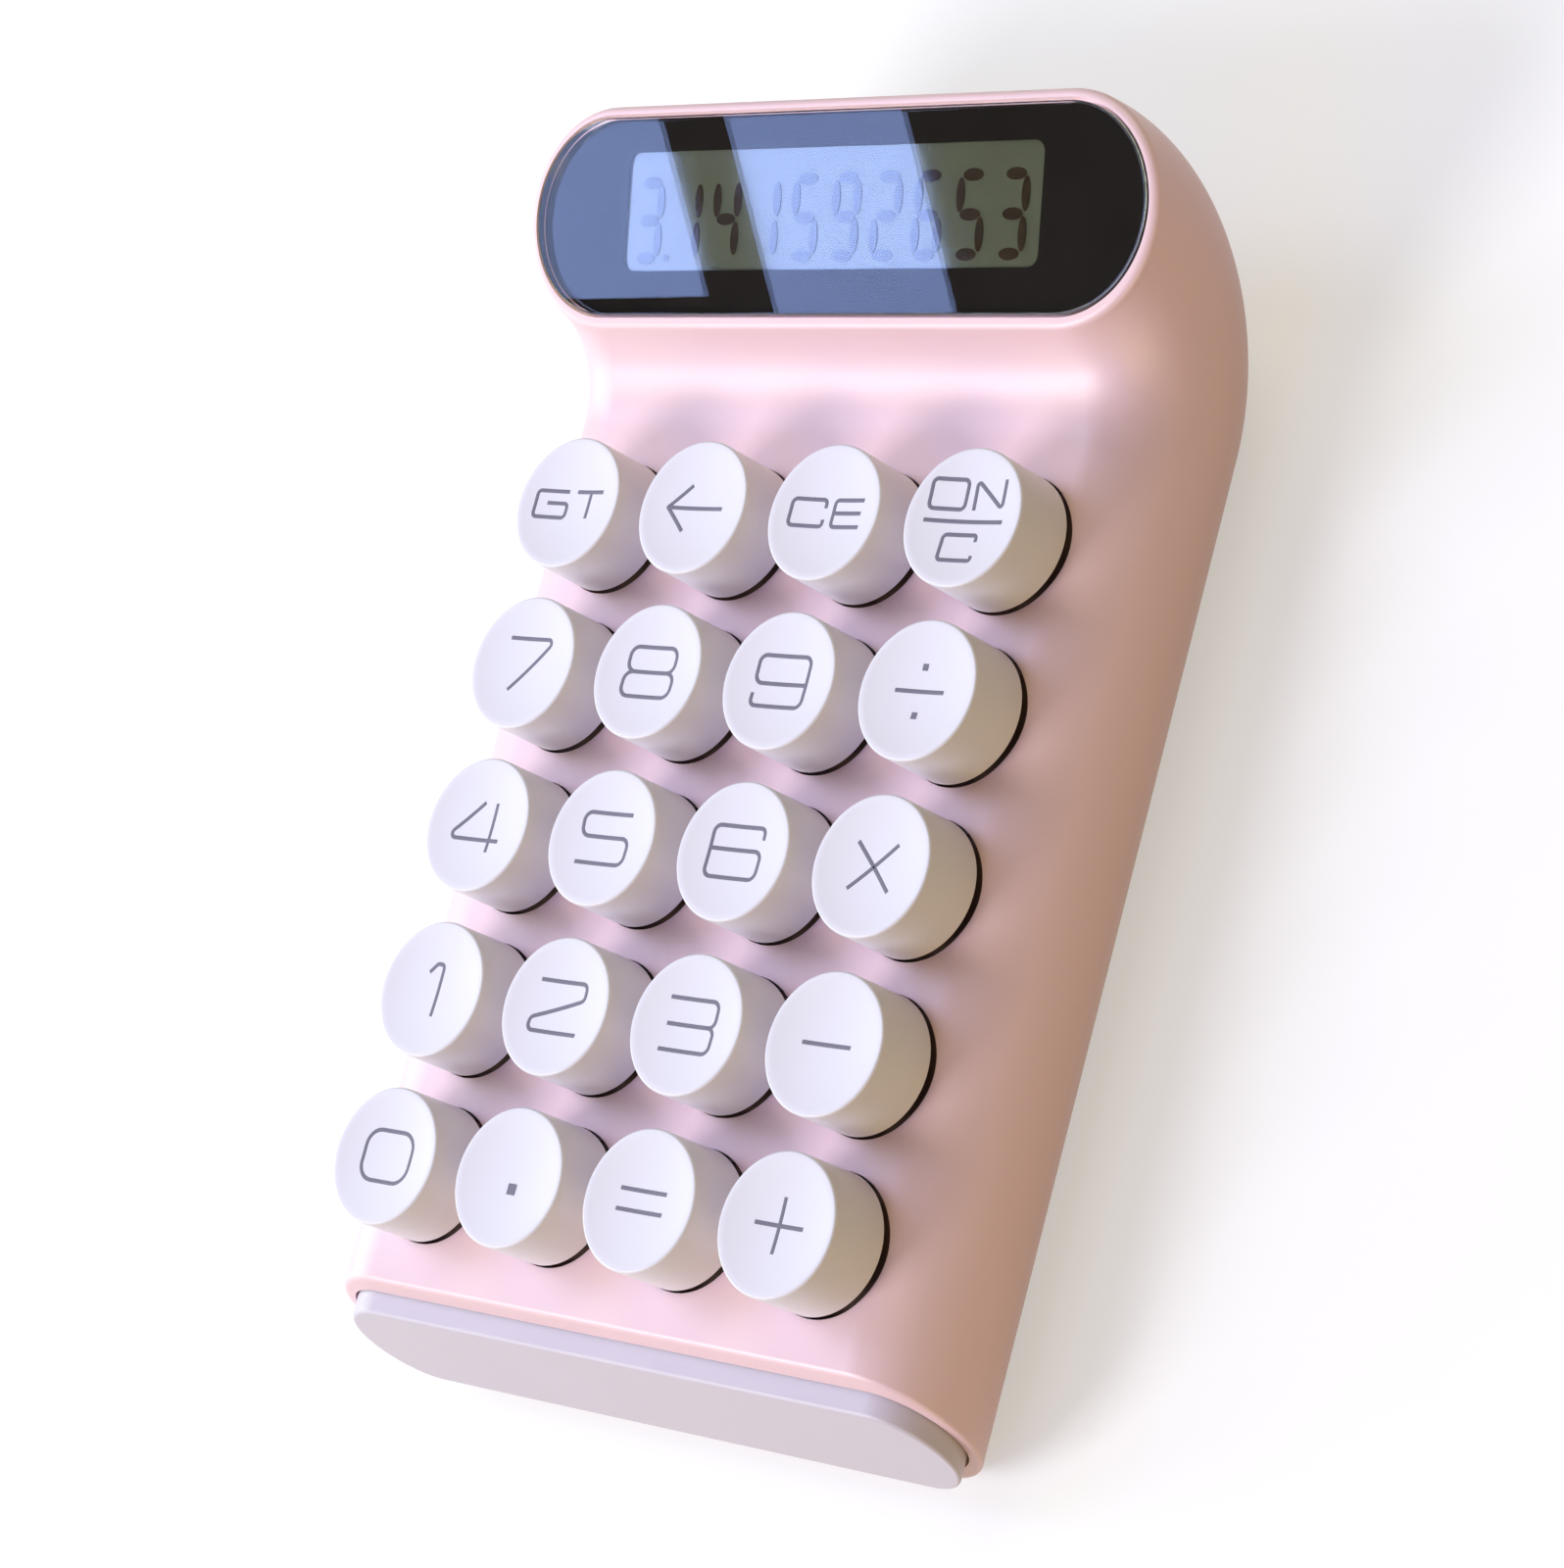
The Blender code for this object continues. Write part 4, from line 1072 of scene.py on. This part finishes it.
@dataclass(frozen=True)
class Stroke:
    """One line of a legend, its points in shares of the legend's half width and half height."""

    point_shares: tuple[Pair, ...]
    corner: float = 0.8 * MM
    closed: bool = False


BAR_SHARE = 0.9
BAR = Stroke(((-BAR_SHARE, 0), (BAR_SHARE, 0)))
LEGENDS: dict[str, tuple[Stroke, ...]] = {
    "0": (Stroke(((-1, -1), (1, -1), (1, 1), (-1, 1)), 1.9 * MM, True),),
    "1": (Stroke(((-0.39, 0.68), (-0.12, 1.04), (0.17, 1.04), (0.15, -1.05)), 0.45 * MM),),
    "2": (Stroke(((-0.92, 1), (1, 1), (1, 0.36), (-1, -0.5), (-1, -1), (1, -1)), 0.7 * MM),),
    "3": (
        Stroke(((-0.92, 1), (1, 1), (1, 0), (-0.85, 0)), 0.9 * MM),
        Stroke(((0.5, 0), (1, 0), (1, -1), (-0.92, -1)), 0.9 * MM),
    ),
    "4": (
        Stroke(((0, 0.95), (-1.28, -0.57), (0.93, -0.57)), 0.5 * MM),
        Stroke(((0.52, 0.95), (0.52, -1.05))),
    ),
    "5": (Stroke(((0.95, 1), (-1, 1), (-0.95, 0.06), (1, 0.06), (1, -1), (-0.93, -1)), 1.0 * MM),),
    "6": (Stroke(((0.98, 0.55), (0.98, 1), (-1, 1), (-1, -1), (1, -1), (1, 0.1), (-0.97, 0.1)), 0.9 * MM),),
    "7": (Stroke(((-0.86, 1.02), (1.08, 1.02), (-0.46, -1.12)), 0.5 * MM),),
    "8": (
        Stroke(((-0.95, 0), (0.95, 0), (0.95, 1), (-0.95, 1)), 1.1 * MM, True),
        Stroke(((-1, -1), (1, -1), (1, 0), (-1, 0)), 1.1 * MM, True),
    ),
    "9": (
        Stroke(((-0.98, -0.5), (-0.98, -1), (1, -1), (1, 1), (-1, 1), (-1, -0.1), (0.97, -0.1)), 0.9 * MM),
    ),
    "plus": (BAR, Stroke(((0, 1.05), (0, -1.05)))),
    "minus": (BAR,),
    "equals": (
        Stroke(((-BAR_SHARE, 0.39), (BAR_SHARE, 0.39))),
        Stroke(((-BAR_SHARE, -0.39), (BAR_SHARE, -0.39))),
    ),
    "multiply": (
        Stroke(((-0.75, 0.9), (0.75, -0.9))),
        Stroke(((0.75, 0.9), (-0.75, -0.9))),
    ),
    "divide": (BAR,),
    "point": (),
    "grand_total": (
        Stroke(((-0.16, 0.5), (-1.44, 0.5), (-1.44, -0.6), (-0.13, -0.6), (-0.13, 0), (-0.97, 0)), 0.5 * MM),
        Stroke(((0.19, 0.5), (1.34, 0.5))),
        Stroke(((0.8, 0.5), (0.8, -0.6))),
    ),
    "backspace": (
        Stroke(((-1.1, 0), (1.12, 0))),
        Stroke(((-0.3, 0.93), (-1.1, 0), (-0.3, -0.95)), 0.05 * MM),
    ),
    "clear_entry": (
        Stroke(
            ((-0.1, 0.21), (-0.1, 0.54), (-1.38, 0.54), (-1.38, -0.53), (-0.1, -0.53), (-0.1, -0.25)),
            0.6 * MM,
        ),
        Stroke(((1.4, 0.54), (0.25, 0.54), (0.25, -0.53), (1.4, -0.53)), 0.5 * MM),
        Stroke(((0.25, 0.02), (1.36, 0.02))),
    ),
    "on_clear": (
        Stroke(((-1.42, 0.35), (-0.14, 0.35), (-0.14, 1.49), (-1.42, 1.49)), 0.6 * MM, True),
        Stroke(((0.22, 0.33), (0.18, 1.49), (1.3, 0.38), (1.27, 1.52)), 0.3 * MM),
        Stroke(((-1.47, -0.12), (1.44, -0.12))),
        Stroke(
            ((0.6, -0.9), (0.6, -0.64), (-0.63, -0.64), (-0.63, -1.65), (0.6, -1.65), (0.6, -1.45)),
            0.5 * MM,
        ),
    ),
}
DOTS: dict[str, tuple[Triple, ...]] = {
    "divide": ((0, 0.93, 0.72 * MM), (0.03, -0.93, 0.72 * MM)),
    "point": ((0.12, -0.4, 1.2 * MM),),
}


@dataclass
class Keycaps:
    """Twenty round white caps, dished on top, each with its printed legend."""

    keys: KeyField
    radius: float = 7.65 * MM
    lift: float = 0.75 * MM
    edge: float = 0.3 * MM
    edge_facets: int = 6
    wall: float = 1.1 * MM
    top: float = 1.3 * MM
    dish: float = 0.6 * MM
    dish_rings: int = 12
    centre_radius: float = 0.3 * MM
    stem_radius: float = 2.0 * MM
    stem_bottom: float = -4.4 * MM
    sides: int = 96
    half_width: float = 3.6 * MM
    half_height: float = 2.8 * MM
    stroke_radius: float = 0.235 * MM
    stroke_roundness: int = 1
    print_height: float = 0.035 * MM
    corner_facets: int = 7
    point_gap: float = 0.6 * MM

    @property
    def face_radius(self) -> float:
        """The radius inside the rounded edge."""
        return self.radius - self.edge

    def face_level(self, reach: float) -> float:
        """How high the dished face lies above the deck at this distance from its axis."""
        share = min(reach / self.face_radius, 1.0)
        return self.keys.face_height - self.dish * (1 - share * share)

    def profile(self) -> list[Pair]:
        """The cap's rings, from the stem's foot to the middle of its face.

        Returns:
            Radius and level of each.
        """
        under = self.keys.face_height - self.top - self.dish
        inner = self.radius - self.wall
        points = [
            (self.stem_radius, self.stem_bottom),
            (self.stem_radius, under),
            (inner, under),
            (inner, self.lift),
            (self.radius, self.lift),
        ]
        for inset, depth in reversed(list(edge_steps(self.edge, self.edge_facets))):
            points.append((self.radius - inset, self.keys.face_height - depth))
        for step in range(1, self.dish_rings + 1):
            reach = blend(self.face_radius, self.centre_radius, step / self.dish_rings)
            points.append((reach, self.face_level(reach)))
        return points

    def pattern(self) -> bpy.types.Mesh:
        """The mesh that all caps are copied from, with its axis and the deck at the origin.

        Returns:
            The mesh.
        """
        shaper = Shaper("cap_pattern")
        shaper.turned(self.profile(), self.sides)
        piece = shaper.done()
        shade(piece)
        mesh = piece.data.copy()
        bpy.data.objects.remove(piece, do_unlink=True)
        return mesh

    def rounded(self, stroke: Stroke) -> list[Vector]:
        """The points of a stroke with its corners rounded.

        Args:
            stroke: The stroke.

        Returns:
            Points in the face's plane, in metres from the legend's middle.
        """
        corners = [Vector((x * self.half_width, y * self.half_height)) for x, y in stroke.point_shares]
        count = len(corners)
        path: list[Vector] = []
        for index, corner in enumerate(corners):
            if not stroke.closed and index in (0, count - 1):
                path.append(corner)
                continue
            before = corners[index - 1] - corner
            after = corners[(index + 1) % count] - corner
            half_angle = before.angle(after) / 2
            reach = min(stroke.corner / math.tan(half_angle), before.length / 2, after.length / 2)
            radius = reach * math.tan(half_angle)
            middle = (before.normalized() + after.normalized()).normalized()
            centre = corner + middle * (radius / math.sin(half_angle))
            start = corner + before.normalized() * reach - centre
            end = corner + after.normalized() * reach - centre
            for step in range(self.corner_facets + 1):
                share = step / self.corner_facets
                turned = start.angle_signed(end) * share
                spoke = start.copy()
                spoke.rotate(Matrix.Rotation(-turned, 2))
                path.append(centre + spoke)
        return path

    def spaced(self, path: list[Vector], closed: bool) -> list[Vector]:
        """Adds points along the long stretches, so that the line can follow the dish.

        Args:
            path: The points.
            closed: Whether the last joins the first.

        Returns:
            The path with no long stretch left.
        """
        made: list[Vector] = []
        pairs = list(zip(path, path[1:]))
        if closed:
            pairs.append((path[-1], path[0]))
        for start, end in pairs:
            parts = max(1, math.ceil((end - start).length / self.point_gap))
            made += [start.lerp(end, part / parts) for part in range(parts)]
        if not closed:
            made.append(path[-1])
        return made

    def legend(self, name: str) -> Piece:
        """The printed strokes and dots of one key, lying in its dish.

        Args:
            name: The key.

        Returns:
            The print.
        """
        curve = bpy.data.curves.new(f"legend_{name}", "CURVE")
        curve.dimensions = "3D"
        curve.bevel_depth = self.stroke_radius
        curve.bevel_resolution = self.stroke_roundness
        curve.use_fill_caps = True
        for stroke in LEGENDS[name]:
            path = self.spaced(self.rounded(stroke), stroke.closed)
            spline = curve.splines.new("POLY")
            spline.points.add(len(path) - 1)
            spline.use_cyclic_u = stroke.closed
            for point, place in zip(spline.points, path):
                point.co = (place.x, place.y, 0, 1)
        activate(placed(f"legend_{name}", curve))
        bpy.ops.object.convert(target="MESH")
        piece = bpy.context.view_layer.objects.active
        bpy.ops.object.mode_set(mode="EDIT")
        for x, y, size in DOTS.get(name, ()):
            centre = (x * self.half_width, y * self.half_height, 0)
            bpy.ops.mesh.primitive_cube_add(size=size, location=centre)
            bpy.ops.transform.resize(value=(1, 1, 2 * self.stroke_radius / size), center_override=centre)
        close_mesh()
        bpy.ops.object.mode_set(mode="OBJECT")
        x, y = self.keys.place(name)
        for point in piece.data.vertices:
            level = self.face_level(Vector(point.co[:2]).length)
            squashed = point.co.z * self.print_height / self.stroke_radius
            point.co = (point.co.x + x, point.co.y + y, self.keys.origin.z + level + squashed)
        return piece

    def build(self) -> None:
        """Places a cap and its legend for each key."""
        pattern = self.pattern()
        for name in self.keys.names():
            cap = placed(f"cap_{name}", pattern.copy())
            cap.data.transform(Matrix.Translation((*self.keys.place(name), self.keys.origin.z)))
            dress(cap, KEY_WHITE, Slot.KEY, f"key_{name}", f"keycap_{name}")
            legend = self.legend(name)
            shade(legend, weighted=False)
            dress(legend, LEGEND_GREY, Slot.KEY, f"key_{name}")


@dataclass
class Inside:
    """The nodes that keep their CAD shape, with the finish of each."""

    finishes: dict[str, Finish] = field(
        default_factory=lambda: {
            "switch_": SWITCH_BROWN,
            "lcd_panel": SCREEN,
            "lcd_frame": FRAME_BLACK,
            "flex_cable": RIBBON,
            "switch_plate": PLATE_STEEL,
            "main_board": BOARD_GREEN,
            "controller_chip": RESIN,
            "base_cover": PINK,
            "cover_screw_": SCREW_STEEL,
            "coin_cell": CELL_STEEL,
            "cell_contact_": NICKEL,
            "cell_door": PINK,
            "front_foot": RUBBER,
            "rear_foot": RUBBER,
        }
    )

    def build(self) -> None:
        """Puts each finish on the nodes whose name starts with its key."""
        for start, finish in self.finishes.items():
            for name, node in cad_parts.items():
                if not name.startswith(start) or (start == "switch_" and name == "switch_plate"):
                    continue
                node.data.materials.clear()
                node.data.materials.append(finish.material())
                log.info("%s keeps its shape", name)


@dataclass(frozen=True)
class Softbox:
    """A rectangular lamp: where its middle is, and its size, power and colour."""

    name: str
    place: Triple
    size: Pair
    power: float
    colour: Colour


SOFTBOXES = (
    Softbox("key_lamp", (-0.71, -0.85, 0.95), (0.6, 0.6), 14.6, (0.94, 0.93, 1.0)),
    Softbox("left_lamp", (-1.2, -0.2, 0.35), (0.7, 0.7), 5.5, (0.86, 1.0, 0.66)),
    Softbox("right_lamp", (1.1, 0.0, 0.35), (0.9, 0.7), 1.2, (1.0, 0.66, 0.34)),
    Softbox("front_right_lamp", (0.7, -0.9, 0.4), (0.8, 0.7), 3.2, (1.0, 0.74, 0.10)),
    Softbox("front_lamp", (0.0, -0.8, 0.95), (0.8, 0.8), 2.6, (0.14, 0.26, 1.0)),
    Softbox("back_lamp", (0.0, 1.1, 0.9), (0.8, 0.8), 4.8, (1.0, 0.95, 0.66)),
)


@dataclass(frozen=True)
class WindowPane:
    """A bright pane that the display's window mirrors: its edges across and up, and its radiance."""

    name: str
    across: Pair
    up: Pair
    radiance: float
    colour: Colour


PANES = (
    WindowPane("pane_wide", (-0.42, -0.085), (-0.35, 0.35), 4.6, (0.605, 0.635, 1.0)),
    WindowPane("pane_middle", (-0.085, 0.085), (-0.022, 0.030), 8.7, (0.36, 0.506, 1.0)),
    WindowPane("pane_left", (-0.085, 0.045), (-0.115, -0.041), 8.7, (0.36, 0.506, 1.0)),
)


@dataclass(frozen=True)
class DarkCard:
    """A square black card near the panes: its side, its middle in the panes' frame, and its turn there."""

    side: float
    middle: Triple
    turn: float = 0.0


CARDS = (
    DarkCard(0.34, (0, 0, 0.03)),
    DarkCard(0.075, (0.0446, -0.0794, -0.01), math.radians(-13.2)),
)


@dataclass
class Studio:
    """The floor, the surround, the lamps, the mirrored panes with their cards, and the camera."""

    housing: TubeHousing
    camera_place: Vector = Vector((0.3370994, -0.0945144, 0.3762717))
    camera_turn: Triple = (23.14721, 38.57616, 18.96641)
    lens_length: float = 107.021
    sensor: float = 36.0
    nearest: float = 10 * MM
    floor_size: float = 8.0
    floor_colour: Colour = (0.62, 0.62, 0.62)
    floor_glow: float = 0.46
    bounce_colour: Colour = (0.50, 0.42, 0.36)
    ambient: Colour = (0.10, 0.09, 0.075)
    lit_point: Vector = Vector((0, 0, 0.02))
    pane_distance: float = 0.9

    def camera(self) -> None:
        """The camera at the photograph's angle."""
        data = bpy.data.cameras.new("camera")
        data.lens = self.lens_length
        data.sensor_width = self.sensor
        data.clip_start = self.nearest
        data.clip_end = self.floor_size * 2
        made = placed("camera", data)
        made.location = self.camera_place
        made.rotation_euler = Euler([math.radians(turn) for turn in self.camera_turn])
        bpy.context.scene.camera = made

    def floor(self) -> None:
        """A plain pale floor that is white to the camera and keeps the shadow."""
        shaper = Shaper("floor")
        bpy.ops.mesh.primitive_plane_add(size=self.floor_size)
        bpy.ops.object.mode_set(mode="OBJECT")
        pen = MaterialPen("floor")
        pale = pen.add("ShaderNodeBsdfDiffuse")
        pale.inputs["Color"].default_value = (*self.floor_colour, 1.0)
        glow = pen.add("ShaderNodeEmission")
        glow.inputs["Strength"].default_value = self.floor_glow
        both = pen.add("ShaderNodeAddShader")
        pen.link(pale.outputs["BSDF"], both.inputs[0])
        pen.link(glow.outputs["Emission"], both.inputs[1])
        bounce = pen.add("ShaderNodeBsdfDiffuse")
        bounce.inputs["Color"].default_value = (*self.bounce_colour, 1.0)
        either = pen.add("ShaderNodeMixShader")
        pen.link(pen.seen_directly(), either.inputs["Fac"])
        pen.link(bounce.outputs["BSDF"], either.inputs[1])
        pen.link(both.outputs["Shader"], either.inputs[2])
        pen.link(either.outputs["Shader"], pen.output.inputs["Surface"])
        pen.tree.nodes.remove(pen.shader)
        shaper.piece.data.materials.append(pen.material)

    def world(self) -> None:
        """A white surround for the camera and for reflections, and a dim warm one for light."""
        world = bpy.data.worlds.new("studio")
        bpy.context.scene.world = world
        world.use_nodes = True
        pen = NodePen(world.node_tree)
        colour = pen.mix(pen.seen_directly(), self.ambient, WHITE_LIGHT)
        pen.link(colour, pen.tree.nodes["Background"].inputs["Color"])

    @staticmethod
    def lamp(name: str, place: Vector, target: Vector, size: Pair, power: float, colour: Colour) -> None:
        """Adds a rectangular area lamp that faces a target.

        Args:
            name: The lamp's name.
            place: Its middle.
            target: What it faces.
            size: Its width and height.
            power: Its power in watts.
            colour: Its colour.
        """
        data = bpy.data.lights.new(name, "AREA")
        data.shape = "RECTANGLE"
        data.size, data.size_y = size
        data.energy = power
        data.color = colour
        made = placed(name, data)
        made.location = place
        made.rotation_euler = (target - place).to_track_quat("-Z", "Y").to_euler()
        made.visible_camera = False

    def lamps(self) -> None:
        """The soft lamps round the calculator."""
        for box in SOFTBOXES:
            self.lamp(box.name, Vector(box.place), self.lit_point, box.size, box.power, box.colour)

    def mirrored_frame(self) -> Matrix:
        """The place that the display's window mirrors to the camera: X across, Y up and Z away from it.

        Returns:
            The frame as a matrix.
        """
        normal = Vector((0, *self.housing.rim_normal))
        middle = Vector((0, *self.housing.rim_centre))
        mirrored = (middle - self.camera_place).normalized().reflect(normal)
        turn = (-mirrored).to_track_quat("-Z", "Y").to_matrix().to_4x4()
        return Matrix.Translation(middle + mirrored * self.pane_distance) @ turn

    def panes(self) -> None:
        """The panes of a bright window, which the display mirrors."""
        around = self.mirrored_frame()
        away = around.to_3x3() @ Vector((0, 0, 1))
        for pane in PANES:
            place = around @ Vector((sum(pane.across) / 2, sum(pane.up) / 2, 0))
            size = (pane.across[1] - pane.across[0], pane.up[1] - pane.up[0])
            power = pane.radiance * math.pi * size[0] * size[1]
            self.lamp(pane.name, place, place - away, size, power, pane.colour)

    def cards(self) -> None:
        """Black cards that the display mirrors: one behind the panes, and a sill before the left pane."""
        shaper = Shaper("backdrop_cards")
        for card in CARDS:
            turn = (0, 0, card.turn)
            bpy.ops.mesh.primitive_plane_add(size=card.side, location=card.middle, rotation=turn)
        bpy.ops.object.mode_set(mode="OBJECT")
        cards = shaper.piece
        cards.data.transform(self.mirrored_frame())
        cards.visible_camera = False
        cards.visible_diffuse = False
        pen = MaterialPen("card_black")
        pen.fill({"Base Color": (0, 0, 0, 1), "Specular IOR Level": 0.0})
        cards.data.materials.append(pen.material)

    def build(self) -> None:
        """Sets the studio up."""
        bpy.context.scene.view_settings.view_transform = "Standard"
        self.camera()
        self.floor()
        self.world()
        self.lamps()
        self.panes()
        self.cards()


def main() -> None:
    """Builds every sub-assembly in order."""
    logging.basicConfig(level=logging.INFO, format="%(name)s: %(message)s")
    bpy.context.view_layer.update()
    keys = KeyField()
    housing = TubeHousing(keys)
    housing.shell()
    housing.plug()
    window = DisplayWindow(housing)
    window.lens()
    window.mask()
    window.digits()
    Keycaps(keys).build()
    Inside().build()
    Studio(housing).build()


if __name__ == "__main__":
    main()
